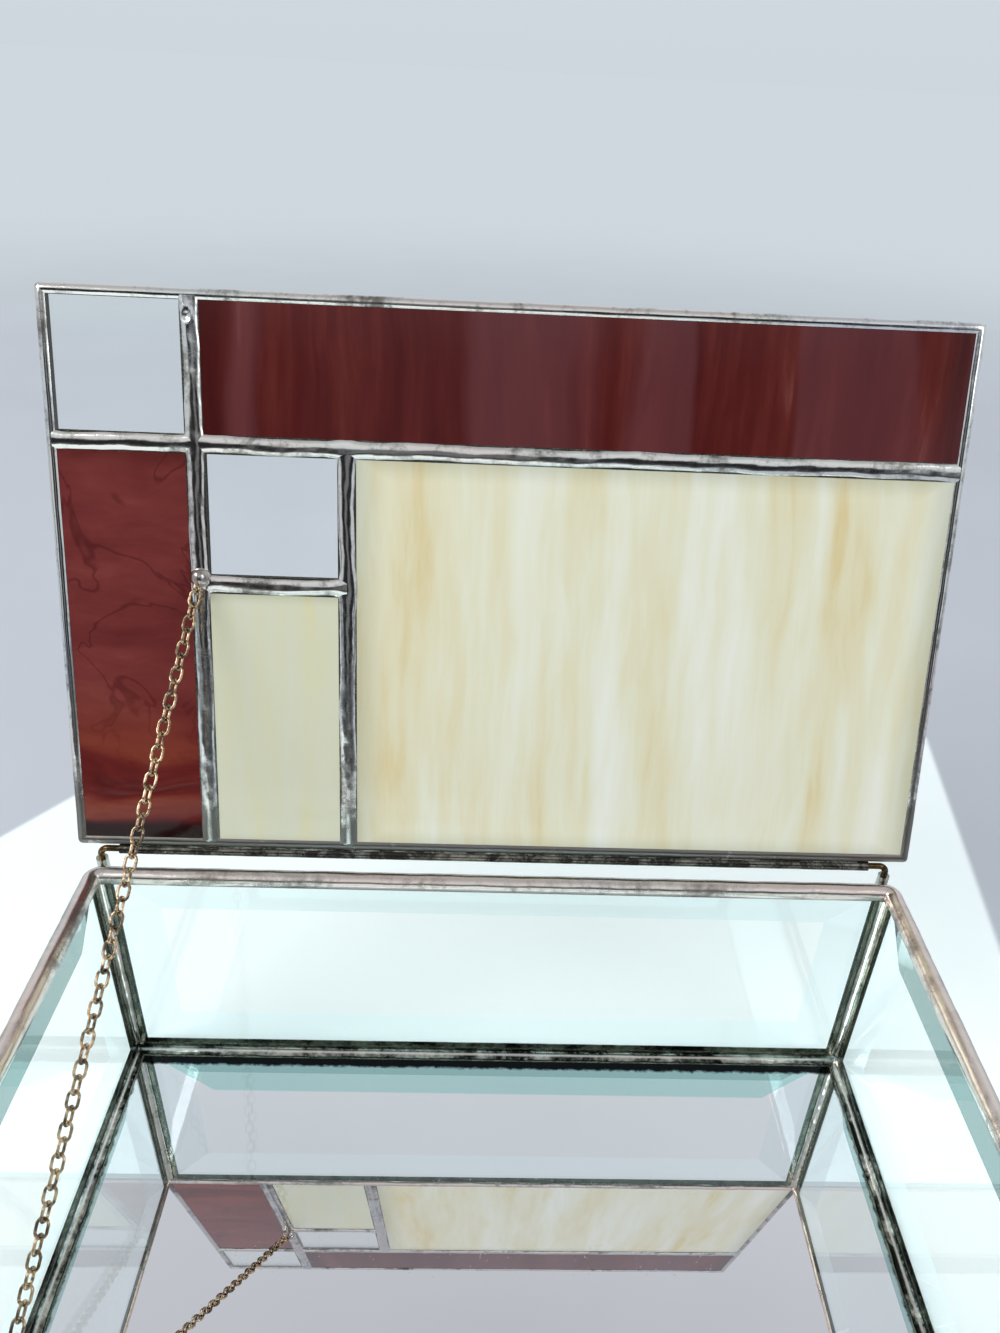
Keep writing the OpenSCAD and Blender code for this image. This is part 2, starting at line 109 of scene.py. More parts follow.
# The box: inner faces of its panes, outside of its solder, and heights.
INNER_X = -cad_box("left_pane")[1][0]
INNER_Y = cad_box("rear_pane")[0][1]
SEAM_OUT = -cad_box("left_rim")[0][0] - INNER_X
FLOOR_TOP = cad_box("mirror_floor")[1][2]
PANE_TOP = cad_box("rear_pane")[1][2]
RIM_TOP = cad_box("rear_rim")[1][2]
FOOT_TOP = cad_box("rear_foot_seam")[1][2]
SEAM_TOP = cad_box("front_left_seam")[1][2]
RIM_LOW = cad_box("rear_rim")[0][2]
EDGE_T = 3.2 * MM  # the panes' thickness at their edges, where the bevel ends
BEVEL_W = 12.7 * MM
FOIL_T = 0.05 * MM
JOINT_GAP = 0.15 * MM  # between the box's panes

# The lid, shut, from the hinge axis.
LID_LO, LID_HI = shut_box("lid_left_edge")[0], shut_box("lid_right_edge")[1]
LID_FRONT = shut_box("lid_front_edge")[0][1]
LID_BACK = shut_box("lid_left_edge")[1][1]
GLASS_LO = shut_box("lid_corner_square")[0]
GLASS_HI = shut_box("lid_main_pane")[1]
LID_TOP = GLASS_HI[2]
LONG_LO, LONG_HI = shut_box("lid_long_seam")
LONG_X, SHORT_X = (sum(shut_box(f"lid_{name}_seam"))[0] / 2 for name in ("long", "short"))
CROSS_Y, INNER_SEAM_Y = (sum(shut_box(f"lid_{name}_seam"))[1] / 2 for name in ("cross", "inner"))

# The chain: its first and last link's middles, and the step from link to link.
RUNS, RUN_LINKS = 12, 5
LINKS = RUNS * RUN_LINKS + 1
CHAIN_TOP = np.array(cad_box("chain_top_link")).mean(0)
CHAIN_FOOT = np.array(cad_box("chain_foot_link")).mean(0)
CHAIN_STEP = (CHAIN_FOOT - CHAIN_TOP) / LINKS


# ---- Surfaces ----


def surface(name, grids, wrap_u=False):
    """One mesh from grids of points. A grid's row i and column j is the point at the i-th step along and the
    j-th step across; neighbours in both directions make a square, and the last column always joins the first,
    so each row is a closed loop. With wrap_u the last row joins the first; otherwise each end row is filled
    by one face. The UV map runs along in u and across in v, both from 0 to 1."""
    points, quads, caps, uvs, start = [], [], [], [], 0
    for grid in grids:
        n, m = grid.shape[:2]
        i, j = np.meshgrid(np.arange(n if wrap_u else n - 1), np.arange(m), indexing="ij")
        a, b, c, d = (i * m + j, i * m + (j + 1) % m, (i + 1) % n * m + (j + 1) % m, (i + 1) % n * m + j)
        quads += (np.stack([a, b, c, d], -1).reshape(-1, 4) + start).tolist()
        corner_u = np.stack([i, i, i + 1, i + 1], -1) / (n if wrap_u else n - 1)
        corner_v = np.stack([j, j + 1, j + 1, j], -1) / m
        uvs.append(np.stack([corner_u, corner_v], -1).reshape(-1, 2))
        if not wrap_u:
            caps += [list(range(start, start + m)), list(range(start + (n - 1) * m, start + n * m))]
        points.append(grid.reshape(-1, 3))
        start += n * m
    mesh = bpy.data.meshes.new(name)
    mesh.from_pydata(np.concatenate(points).tolist(), [], quads + caps)
    layer = mesh.uv_layers.new(name="bead")
    flat = np.zeros((len(mesh.loops), 2))
    flat[: 4 * len(quads)] = np.concatenate(uvs)
    layer.data.foreach_set("uv", flat.ravel())
    mesh.polygons.foreach_set("use_smooth", np.ones(len(mesh.polygons), bool))
    turned = bmesh.new()
    turned.from_mesh(mesh)
    bmesh.ops.recalc_face_normals(turned, faces=turned.faces)
    turned.to_mesh(mesh)
    turned.free()
    mesh.set_sharp_from_angle(angle=SHARP_ANGLE)
    mesh.update()
    obj = bpy.data.objects.new(name, mesh)
    bpy.context.scene.collection.objects.link(obj)
    return obj


def unevenness(t, length, seed, across=0.0, sizes=(31, 14, 6.5, 3.4), weights=(0.4, 0.3, 0.2, 0.1)):
    """Hand work between -1 and 1 at distance t along a bead: sine waves of the given sizes in mm, each fitted
    a whole number of times into the bead's length, shifted by a seeded phase and by the place across the
    bead."""
    phases = np.random.default_rng(seed).uniform(0, 1, (len(sizes), 2))
    total = 0
    for size, weight, (phase, lean) in zip(sizes, weights, phases):
        turns = max(1, round(length / (size * MM)))
        total = total + weight * np.sin(2 * np.pi * (turns * t / length + phase + 0.6 * lean * across))
    return total


def bell(x):
    """A bell curve, 1 high at 0: e to the power of minus x squared."""
    return np.exp(-(x**2))


def circle(count):
    """Angles in equal steps round a circle, from 0."""
    return np.linspace(0, 2 * np.pi, count, endpoint=False)


def points_at(x, y, z):
    """One array of points from their x, y and z, each spread over the others."""
    return np.stack(np.broadcast_arrays(x, y, z), -1)


def ring(half_x, half_y, corner):
    """A rectangle's rounded path seen from above, anticlockwise from the right side. On a side the origin
    moves along and the outward direction stays; at a corner the origin stays corner inside both sides and the
    direction turns. Gives origins, outward directions and mitre directions, one row each, the distance along
    and the whole length. A mitre direction is the outward one plus the side's own direction, in proportion to
    the distance from its middle."""
    origins, outward, mitre = [], [], []
    for k in range(4):
        a = k * np.pi / 2
        n, t = np.array([np.cos(a), np.sin(a)]), np.array([-np.sin(a), np.cos(a)])
        out, side = (half_x, half_y) if k % 2 == 0 else (half_y, half_x)
        share = np.linspace(-1, 1, max(4, int(2 * (side - corner) / RING_STEP)))[:, None]
        origins.append(n * (out - corner) + share * (side - corner) * t)
        outward.append(np.repeat(n[None], len(share), 0))
        mitre.append(n + share * t)
        turn = a + np.linspace(0, np.pi / 2, 12)[1:-1]
        origins.append(np.repeat((n * (out - corner) + t * (side - corner))[None], len(turn), 0))
        outward.append(np.stack([np.cos(turn), np.sin(turn)], -1))
        mitre.append(np.repeat((n + t)[None], len(turn), 0))
    origins, outward, mitre = np.concatenate(origins), np.concatenate(outward), np.concatenate(mitre)
    middle = origins + outward * RING_OUT
    along = np.concatenate([[0], np.cumsum(np.linalg.norm(np.diff(middle, axis=0), axis=1))])
    return origins, outward, mitre, along, along[-1] + np.linalg.norm(middle[0] - middle[-1])


def swept_ring(half_x, half_y, corner, section, seed):
    """A section carried round a rectangle: section(t, length, seed) gives distance out from the rectangle and
    height, each a grid of path steps by section steps. A point is the path's origin plus (corner + distance)
    times its outward direction, or times its mitre direction where that sum is negative, so that inner edges
    meet in sharp corners."""
    origins, outward, mitre, along, length = ring(half_x, half_y, corner)
    out, up = section(along[:, None], length, seed)
    reach = (corner + out)[..., None]
    flat = origins[:, None] + outward[:, None] * np.maximum(reach, 0) + mitre[:, None] * np.minimum(reach, 0)
    return np.concatenate([flat, np.broadcast_to(up, out.shape)[..., None]], -1)


def strip(start, end, half_width, crown, base, seed, swells=(), pits=(), side=1):
    """A lid seam's bead on one face of the shut lid, from start to end (x, y from the hinge axis). Across,
    from -1 to 1, it is half_width wide and its height over base is crown times (1 - across squared) to the
    power 0.7; both vary with the unevenness along it. Swells are (distance along, extra): wider and higher
    there. Pits are small craters with a raised rim. side is 1 for the lid's upper face and -1 for its lower
    one."""
    start, end = np.array(start), np.array(end)
    length = np.linalg.norm(end - start)
    t = np.linspace(0, length, int(length / SEAM_STEP))[:, None]
    v = np.concatenate([np.linspace(-1, 1, SEAM_STEPS), [0.5, -0.5]])[None]
    flat = np.concatenate([np.ones(SEAM_STEPS), [0, 0]])[None]
    wobble = unevenness(t, length, seed, v)
    swell = sum(extra * bell((t - place) / SWELL_W) for place, extra in swells)
    wide = half_width * (1 + 0.07 * unevenness(t, length, seed + 50) + 0.9 * swell)
    high = crown * (0.86 + 0.14 * wobble + 0.25 * swell)
    up = flat * np.minimum(high, crown) * np.maximum(1 - v**2, 0) ** 0.7
    drift = 0.12 * half_width * unevenness(t, length, seed + 90, sizes=(57, 23), weights=(0.6, 0.4))
    across = v * wide + drift
    for place, offset, size in pits:
        d = np.sqrt((t - place) ** 2 + (across - offset) ** 2) / size
        up = up + flat * crown * (0.3 * bell((d - 1.3) / 0.5) - 0.8 * bell(d))
    up = np.clip(up, 0, crown)
    way = (end - start) / length
    x = start[0] + way[0] * t - way[1] * across
    y = start[1] + way[1] * t + way[0] * across
    return points_at(x, y, side * (base + up))


def blob(centre, radii, seed, depth, rings=14, sides=24):
    """A drop: an ellipsoid, by the angle from its top and the turn about it, whose radius changes by the
    product of three sine waves. Its poles are tiny rings."""
    down = np.linspace(0.02, np.pi - 0.02, rings)[:, None]
    turn = circle(sides)[None]
    phase = np.random.default_rng(seed).uniform(0, 6.28, 3)
    r = 1 - depth + depth * np.sin(2 * turn + phase[0]) * np.sin(down) * np.sin(3 * down + phase[1])
    unit = points_at(r * np.sin(down) * np.cos(turn), r * np.sin(down) * np.sin(turn), r * np.cos(down))
    return np.array(centre) + unit * np.array(radii)


def settle(obj, material, slot, body, *nodes):
    """Gives a new piece its material and body, and hides the CAD nodes that it stands for. slot is not used."""
    obj.data.materials.clear()
    obj.data.materials.append(material)
    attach(obj, body)
    if nodes:
        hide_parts(*nodes)


def dress(material, *nodes):
    """Gives carried-over CAD nodes a material."""
    for node in nodes:
        mesh = frame["nodes"][node].data
        mesh.materials.clear()
        mesh.materials.append(material)


# ---- Shader tools ----


class Wires:
    """A node tree being wired: adds nodes, and joins sockets or sets their values."""

    def __init__(self, tree):
        self.tree = tree

    def add(self, kind, inputs=None, **settings):
        node = self.tree.nodes.new(kind)
        for key, value in settings.items():
            setattr(node, key, value)
        self.fill(node.inputs, inputs or {})
        return node

    def fill(self, sockets, values):
        for key, value in values.items():
            self.feed(sockets[key], value)

    def feed(self, socket, value):
        """Joins an output to the socket, or sets its value. A colour of three numbers gets an alpha of 1."""
        if isinstance(value, bpy.types.NodeSocket):
            self.tree.links.new(value, socket)
        elif socket.type == "RGBA" and len(value) == 3:
            socket.default_value = (*value, 1)
        else:
            socket.default_value = value

    def split(self, vector):
        """A vector's x, y and z."""
        return self.add("ShaderNodeSeparateXYZ", {0: vector}).outputs

    def join(self, x, y, z):
        return self.add("ShaderNodeCombineXYZ", {0: x, 1: y, 2: z}).outputs[0]

    def bump(self, height, strength, distance):
        inputs = {"Height": height, "Strength": strength, "Distance": distance}
        return self.add("ShaderNodeBump", inputs).outputs[0]

    def math(self, operation, a, b=0.0):
        return self.add("ShaderNodeMath", {0: a, 1: b}, operation=operation).outputs[0]

    def plus(self, a, b):
        return self.math("ADD", a, b)

    def minus(self, a, b):
        return self.math("SUBTRACT", a, b)

    def times(self, a, b):
        return self.math("MULTIPLY", a, b)

    def larger(self, a, b):
        return self.math("MAXIMUM", a, b)

    def absolute(self, a):
        return self.math("ABSOLUTE", a)

    def remap(self, value, low, high, to_low=0.0, to_high=1.0):
        """Turns low to high into to_low to to_high, with a soft start and end, and holds it beyond them."""
        inputs = {"Value": value, "From Min": low, "From Max": high, "To Min": to_low, "To Max": to_high}
        return self.add("ShaderNodeMapRange", inputs, interpolation_type="SMOOTHSTEP").outputs["Result"]

    def mix(self, factor, a, b, blend="MIX"):
        node = self.add("ShaderNodeMix", data_type="RGBA", blend_type=blend)
        self.fill(node.inputs, {0: factor, 6: a, 7: b})
        return node.outputs[2]

    def noise(self, vector, scale, detail=3.0, rough=0.5, distortion=0.0):
        inputs = {"Vector": vector, "Scale": scale, "Detail": detail, "Roughness": rough}
        return self.add("ShaderNodeTexNoise", {**inputs, "Distortion": distortion}).outputs["Fac"]

    def ramp(self, factor, stops):
        """A colour ramp: stops are (place, colour), and the colours are linear RGB."""
        node = self.add("ShaderNodeValToRGB", {"Fac": factor})
        elements = node.color_ramp.elements
        while len(elements) < len(stops):
            elements.new(0.5)
        for element, (place, colour) in zip(elements, stops):
            element.position, element.color = place, (*colour, 1)
        return node.outputs["Color"]


def rgb(r, g, b):
    """A colour as a screen shows it, from 0 to 255, as linear values."""
    c = np.array([r, g, b]) / 255
    return tuple(float(x) for x in np.where(c <= 0.04045, c / 12.92, ((c + 0.055) / 1.055) ** 2.4))


def group(name, inputs, outputs):
    """An empty node group with named sockets. Gives its wires, its input node and its output node."""
    tree = bpy.data.node_groups.new(name, "ShaderNodeTree")
    for side, sockets in (("INPUT", inputs), ("OUTPUT", outputs)):
        for socket_name, kind, *default in sockets:
            socket = tree.interface.new_socket(socket_name, in_out=side, socket_type="NodeSocket" + kind)
            if default:
                socket.default_value = default[0]
    wires = Wires(tree)
    return wires, wires.add("NodeGroupInput").outputs, wires.add("NodeGroupOutput").inputs


def place_group(wires, name, inputs):
    """Puts a node group into a material and sets its inputs."""
    node = wires.add("ShaderNodeGroup", node_tree=bpy.data.node_groups[name])
    wires.fill(node.inputs, inputs)
    return node.outputs


def material(name):
    """A new material. Gives it, its wires and its Principled shader."""
    made = bpy.data.materials.new(name)
    made.use_nodes = True
    wires = Wires(made.node_tree)
    return made, wires, made.node_tree.nodes["Principled BSDF"]


def object_place(wires):
    """The place in the shared frame, in metres."""
    return wires.add("ShaderNodeTexCoord").outputs["Object"]


def lid_place(wires):
    """The place on the shut lid, from the hinge axis: Object coordinates turned about the hinge by the open
    angle."""
    turn = Matrix.Rotation(OPEN_ANGLE, 3, "X")
    shift = -(turn @ Vector(AXIS))
    inputs = {"Vector": object_place(wires), "Location": tuple(shift), "Rotation": (OPEN_ANGLE, 0, 0)}
    return wires.add("ShaderNodeMapping", inputs, vector_type="POINT").outputs["Vector"]


# ---- Shared finishes ----

# Places on the shut lid, as y from the hinge axis: where each look begins and where it is full.
# Where the lid seams' metal begins to darken towards the hinge, and where it is darkest.
HINGE_DARKENING = (-24 * MM, -4 * MM)
# Painted reflection: lighter orange streaks on the side strip towards the hinge.
REFLECTION_SPAN = (-46 * MM, -20 * MM)
# The side strip turns black at its hinged edge.
BLACK_AT_HINGE = (-9 * MM, -6.6 * MM)


def make_groups():
    """The node groups that the materials share."""
    wires, inside, out = group(
        "Cloudy Tarnish",
        [("Place", "Vector"), ("Clean", "Color"), ("Dull", "Color"),
         ("Size", "Float", 120.0), ("Cover", "Float", 0.5), ("Crown", "Float", 0.0)],
        [("Color", "Color"), ("Roughness", "Float"), ("Height", "Float")],
    )
    clouds = wires.noise(inside["Place"], inside["Size"], 4.0, 0.6, 0.5)
    grains = wires.noise(inside["Place"], wires.times(inside["Size"], 8.0), 3.0, 0.6)
    slow = wires.noise(inside["Place"], wires.times(inside["Size"], 0.25), 2.0)
    both = wires.plus(wires.times(clouds, 0.7), wires.times(grains, 0.3))
    both = wires.plus(both, wires.times(wires.minus(inside["Cover"], 0.5), 0.5))
    dull = wires.remap(both, 0.4, 0.62)
    # Painted highlight along a bead's crown, partly rubbed tarnish: less of the dull colour there.
    dull = wires.times(dull, wires.minus(1.0, wires.times(inside["Crown"], 0.75)))
    toned = wires.mix(dull, inside["Clean"], inside["Dull"])
    rainbow = wires.ramp(slow, [(0.36, (1.0, 0.93, 0.9)), (0.5, (1.0, 1.0, 0.96)), (0.64, (0.95, 0.96, 1.0))])
    rough = wires.plus(wires.times(dull, 0.18), wires.times(grains, 0.06))
    height = wires.plus(wires.times(clouds, 0.7), wires.times(grains, 0.3))
    colour = wires.mix(1.0, toned, rainbow, "MULTIPLY")
    wires.fill(out, {"Color": colour, "Roughness": wires.plus(rough, 0.09), "Height": height})

    wires, inside, out = group(
        "Pulled Streaks",
        [("Place", "Vector"), ("Across", "Float", 160.0), ("Along", "Float", 14.0), ("Sway", "Float", 0.004)],
        [("Wide", "Float"), ("Fine", "Float"), ("Bands", "Float")],
    )
    parts = wires.split(inside["Place"])
    sway = wires.minus(wires.noise(inside["Place"], 26.0, 2.0), 0.5)
    x = wires.plus(parts[0], wires.times(sway, inside["Sway"]))
    y, z = (wires.times(parts[k], inside["Along"]) for k in (1, 2))
    pulled = wires.join(wires.times(x, inside["Across"]), y, z)
    wires.feed(out["Wide"], wires.noise(pulled, 1.0, 3.0, 0.55, 0.5))
    wires.feed(out["Fine"], wires.noise(pulled, 3.7, 4.0, 0.6, 0.3))
    wires.feed(out["Bands"], wires.noise(pulled, 0.42, 2.0, 0.3, 0.1))

    sockets = [("Place", "Vector"), ("Amount", "Float", 0.5)]
    wires, inside, out = group("Handled Glass", sockets, [("Roughness", "Float")])
    smudge = wires.remap(wires.noise(inside["Place"], 38.0, 4.0, 0.6, 0.4), 0.52, 0.75)
    speck = wires.remap(wires.noise(inside["Place"], 1400.0, 1.0), 0.7, 0.76)
    both = wires.plus(wires.times(smudge, 0.03), wires.times(speck, 0.2))
    wires.feed(out["Roughness"], wires.times(both, inside["Amount"]))


def crown_wear_highlight_mask(wires):
    """1 along the top of a bead and 0 on its flanks, from the UV map that runs across it. There the tarnish is
    thinned: partly rubbed wear, partly a painted highlight.
    """
    across = wires.split(wires.add("ShaderNodeUVMap", uv_map="bead").outputs[0])[1]
    return wires.remap(wires.absolute(wires.minus(across, 0.43)), 0.02, 0.16, 1.0, 0.0)


def metal_material(name, clean, dull, size, cover, bump=0.35, crown_wear_and_highlight=False, satin=0.0, hinge=0.0):
    """A metal under a cloudy tarnish; on request the tarnish is thinned along the top of the bead, partly
    rubbed wear and partly a painted highlight.
    satin is added to the roughness, and hinge to the tarnish's cover towards the lid's hinged edge, so the
    metal is darker there."""
    made, wires, shader = material(name)
    inputs = {"Place": object_place(wires), "Clean": rgb(*clean), "Dull": rgb(*dull), "Size": size}
    inputs["Cover"] = cover * bpy.context.scene.casket_metal.tarnish
    if hinge:
        along = wires.split(lid_place(wires))[1]
        inputs["Cover"] = wires.plus(inputs["Cover"], wires.remap(along, *HINGE_DARKENING, 0.0, hinge))
    if crown_wear_and_highlight:
        inputs["Crown"] = crown_wear_highlight_mask(wires)
    look = place_group(wires, "Cloudy Tarnish", inputs)
    rough, normal = wires.plus(look["Roughness"], satin), wires.bump(look["Height"], bump, 0.25 * MM)
    wires.fill(shader.inputs, {"Base Color": look["Color"], "Roughness": rough, "Normal": normal})
    shader.inputs["Metallic"].default_value = 1.0
    return made


def let_light_through(wires, shader, share):
    """Makes the glass lighter for shadow rays, so that its shadow stays pale: alpha is 1 less share for
    them."""
    shadow = wires.add("ShaderNodeLightPath").outputs["Is Shadow Ray"]
    wires.feed(shader.inputs["Alpha"], wires.minus(1.0, wires.times(shadow, share)))


def clear_material(name, bevelled):
    """Clear plate glass. With bevelled, faces that lean away from all three axes are bevels and get a teal
    tint. A ray that the bevels keep inside the glass is lost after a few reflections, so at its second it
    gets the green light that such a ray would bring from afar. Without bevelled, the panes get a painted
    sheen: a faint pale glow of their own, though they are no lamp."""
    look = bpy.context.scene.casket_glass
    made, wires, shader = material(name)
    place = wires.add("ShaderNodeTexCoord").outputs
    smudges = place_group(wires, "Handled Glass", {"Place": place["Object"], "Amount": look.smudges})
    colour = look.clear_colour
    if bevelled:
        parts = wires.split(place["Normal"])
        x, y, z = (wires.absolute(parts[k]) for k in range(3))
        straight = wires.larger(x, wires.larger(y, z))
        bevel = wires.remap(straight, 0.9935, 0.9965, 1.0, 0.0)
        colour = wires.mix(bevel, colour, look.bevel_colour)
        bounces = wires.add("ShaderNodeLightPath").outputs["Glossy Depth"]
        trapped = wires.math("COMPARE", bounces, 2.0)
        glow, strength = wires.mix(trapped, (0, 0, 0), look.trapped_light), 1.0
    else:
        # Painted sheen: a faint glow on the lid's clear panes.
        glow, strength = SHEEN_GLOW_COLOUR, look.sheen_glow
    wires.fill(shader.inputs, {"Base Color": colour, "Roughness": smudges["Roughness"], "Emission Color": glow,
                               "Emission Strength": strength, "Transmission Weight": 1.0, "IOR": GLASS_IOR})
    let_light_through(wires, shader, 0.85)
    return made


def art_material(name, stops, streaks, level, gloss, bands=None, veins=None, reflection_streaks=None):
    """Streaky art glass on the lid: a colour ramp over pulled streaks, with the fine streaks mixed in by a
    third. level turns the streaks side to side; otherwise they run front to back. bands and veins are each
    (colour, share): a colour in wide bands along the streaks, and one in thin curling lines. The last ramp
    is a painted reflection: lighter orange streaks that take over towards the hinge, after which the colour
    turns black at the hinged edge. Towards the pane's edges the colour is shaded by the seams."""
    look = bpy.context.scene.casket_glass
    made, wires, shader = material(name)
    place = lid_place(wires)
    parts = wires.split(place)
    if level:
        place = wires.join(parts[1], parts[0], parts[2])
    across, along, sway = streaks
    inputs = {"Place": place, "Across": across, "Along": along, "Sway": sway}
    pulled = place_group(wires, "Pulled Streaks", inputs)
    share = 0.34 * look.streaks
    mixed = wires.plus(wires.times(pulled["Wide"], 1.0 - share), wires.times(pulled["Fine"], share))
    colour = wires.ramp(mixed, [(spot, rgb(*c)) for spot, c in stops])
    if bands:
        wide = wires.remap(pulled["Bands"], 0.53, 0.6, 0.0, bands[1])
        colour = wires.mix(wide, colour, rgb(*bands[0]))
    if veins:
        curl = wires.noise(place, 38.0, 3.0, 0.5, 1.6)
        line = wires.absolute(wires.minus(curl, 0.52))
        colour = wires.mix(wires.remap(line, 0.0, 0.024, veins[1], 0.0), colour, rgb(*veins[0]))
    # Painted reflection: lighter orange streaks take over towards the hinge.
    if reflection_streaks:
        stripes = wires.ramp(pulled["Wide"], [(spot, rgb(*c)) for spot, c in reflection_streaks])
        colour = wires.mix(wires.remap(parts[1], *REFLECTION_SPAN, 0.0, 0.85), colour, stripes)
        # The colour turns black at the hinged edge.
        colour = wires.mix(wires.remap(parts[1], *BLACK_AT_HINGE, 0.0, 0.9), colour, rgb(24, 8, 8))
    rim = wires.split(wires.add("ShaderNodeTexCoord").outputs["Generated"])
    far = wires.larger(*(wires.absolute(wires.minus(rim[k], 0.5)) for k in (0, 2)))
    colour = wires.mix(wires.remap(far, 0.43, 0.5, 0.0, 0.5), colour, rgb(176, 180, 172), "MULTIPLY")
    smudges = place_group(wires, "Handled Glass", {"Place": place, "Amount": 1.5 * look.smudges})
    rough, normal = wires.plus(smudges["Roughness"], 0.07), wires.bump(pulled["Wide"], 0.25, 0.4 * MM)
    wires.fill(shader.inputs, {"Base Color": colour, "Roughness": rough, "Normal": normal,
                               "Specular IOR Level": gloss, "IOR": ART_GLASS_IOR})
    return made


# The art glass's ramps, as (place, screen colour), and what is laid over them, as (screen colour, share).
WINE = [(0.3, (66, 21, 22)), (0.42, (75, 25, 25)), (0.52, (82, 30, 28)), (0.62, (94, 39, 35)),
        (0.76, (126, 76, 72))]
EVEN_WINE = [(0.3, (92, 36, 36)), (0.45, (103, 44, 43)), (0.6, (114, 52, 49)), (0.75, (126, 66, 60))]
# Ramp of the painted reflection towards the hinge.
REFLECTION_RAMP = [(0.36, (72, 18, 20)), (0.5, (98, 32, 28)), (0.64, (122, 54, 38))]
CREAM = [(0.32, (220, 200, 148)), (0.43, (226, 218, 184)), (0.55, (230, 228, 204)), (0.68, (236, 236, 224))]
PALE_CREAM = [(0.32, (222, 210, 158)), (0.42, (216, 214, 184)), (0.6, (214, 215, 195)), (0.72, (220, 221, 206))]
SMOKE, INK = ((118, 74, 80), 0.28), ((66, 22, 24), 0.5)

MITRE = 1.86  # slope at its mitred ends of the mirror's greener band, a painted reflection of the panes' bevels: along the side, over across it
RAGGED = 2.2 * MM  # how far the stain's border wanders, and how much narrower it is along the sides
STAIN = (3.2 * MM, 4.2 * MM)  # where the stain begins to fade and where it ends, less the wander


def mirror_material():
    """Silvered glass: a metal mirror with faint smudges, a greener band half an inch wide along front and
    back that is a painted reflection of the panes' bevels, a black ragged stain along the seams, and grey
    paint on its underside."""
    look = bpy.context.scene.casket_glass
    made, wires, shader = material("Mirror plate")
    place = wires.add("ShaderNodeTexCoord").outputs
    down = wires.split(place["Normal"])[2]
    silver = wires.remap(down, -0.6, -0.4)
    smudges = place_group(wires, "Handled Glass", {"Place": place["Object"], "Amount": 1.2 * look.smudges})
    blotch = wires.noise(place["Object"], 60.0, 4.0, 0.6)
    paint = wires.ramp(blotch, [(0.3, rgb(96, 92, 88)), (0.7, rgb(128, 122, 114))])
    cloud = wires.remap(wires.noise(place["Object"], 14.0, 3.0), 0.35, 0.7)
    sheen = wires.mix(wires.times(cloud, 0.12), look.mirror_colour, rgb(200, 206, 216))
    parts = wires.split(place["Object"])
    side, end = (wires.minus(half, wires.absolute(parts[k])) for k, half in ((0, INNER_X), (1, INNER_Y)))
    # Painted reflection of the panes' bevels: a greener band along front and back, mitred at its ends.
    mitred = wires.remap(wires.minus(side, wires.times(end, MITRE)), 0.0, 0.6 * MM)
    band = wires.times(wires.remap(end, BEVEL_W - 0.3 * MM, BEVEL_W + 0.2 * MM, 1.0, 0.0), mitred)
    sheen = wires.mix(band, sheen, look.bevel_reflection_tint, "MULTIPLY")
    ragged = wires.times(wires.noise(place["Object"], 420.0, 4.0, 0.65), RAGGED)
    inset = wires.math("MINIMUM", wires.plus(side, RAGGED), end)
    stain = wires.remap(wires.minus(inset, ragged), *STAIN, 1.0, 0.0)
    sheen = wires.mix(stain, sheen, rgb(30, 32, 34))
    rough = wires.times(wires.minus(1.0, silver), 0.55)
    rough = wires.plus(rough, wires.times(smudges["Roughness"], 0.6))
    colour = wires.mix(silver, paint, sheen)
    wires.fill(shader.inputs, {"Base Color": colour, "Metallic": silver, "Roughness": rough})
    return made


# ---- Pieces ----

CORNER = 0.584 * MM  # how far inside both panes' inner faces the round corners are centred
WALL_LAP = 2.4 * MM  # how far the beads lap onto the panes
PANE_T = cad_box("rear_pane")[1][1] - INNER_Y
LAP_OUT = EDGE_T + (PANE_T - EDGE_T) * WALL_LAP / BEVEL_W + FOIL_T  # the foil's outer face at a bead's edge
FOOT_FILLET, CORNER_FILLET = 2.2 * MM, 1.8 * MM
MOST_LUMPS = 0.07  # deepest hollow in a bead, as a share of its radius
POST_CORE = 0.1 * MM  # how far a corner post reaches between the panes
EDGE_R = 1.4144 * MM  # radius of the lid's edge bead
FOIL_UP = LID_TOP + FOIL_T
SEAM_INSET = 1.6 * MM  # from the lid's outside to the end of a seam's bead
SEAM_SPREAD = 1.16  # the seam's width over that of its bead, which may swell so far
SEAM_PIT = (4.2 * MM, 0.5 * MM, 0.9 * MM)  # distance along, offset from the middle, and radius
DROP_RADII, DROP_IN, DROP_UP = (2.4 * MM, 1.6 * MM, 0.9 * MM), 1.9 * MM, 1.2 * MM  # where seams meet the edge
ROD_R = cad_box("hinge_rod")[1][2] - AXIS[2]
LEG_X = cad_box("hinge_rod")[1][0] - ROD_R
SLEEVE_WALL = 0.7 * MM  # solder round the rod's leg
SLEEVE_LOW = 50.2 * MM  # height at which the sleeve's round lower end begins
SLEEVE_DROP = 0.7 * MM  # from the rim's top down to the sleeve's
WEB_NEAR = 1.6 * MM  # where the web between post and sleeve begins
WEB_HALF = 90.5 * MM  # half length of the web between the hinge tube and the lid
WEB_UP, WEB_Y, WEB_REACH = 0.91 * MM, -1.3 * MM, 0.95 * MM  # its half height, its middle and its half depth
WEB_SWELL, WEB_SWELL_W = 0.55 * MM, 2.6 * MM
WIRE, LINK_W, LINK_PLAY = 0.65 * MM, 3.1 * MM, 0.05 * MM


def closed(out, up, corners):
    """Adds corner points, the same at each step, that close a section behind its curve."""
    extra = np.array(corners)
    rows = [np.broadcast_to(extra[:, k], (len(out), len(extra))) for k in (0, 1)]
    return np.concatenate([out, rows[0]], 1), np.concatenate([up, rows[1]], 1)


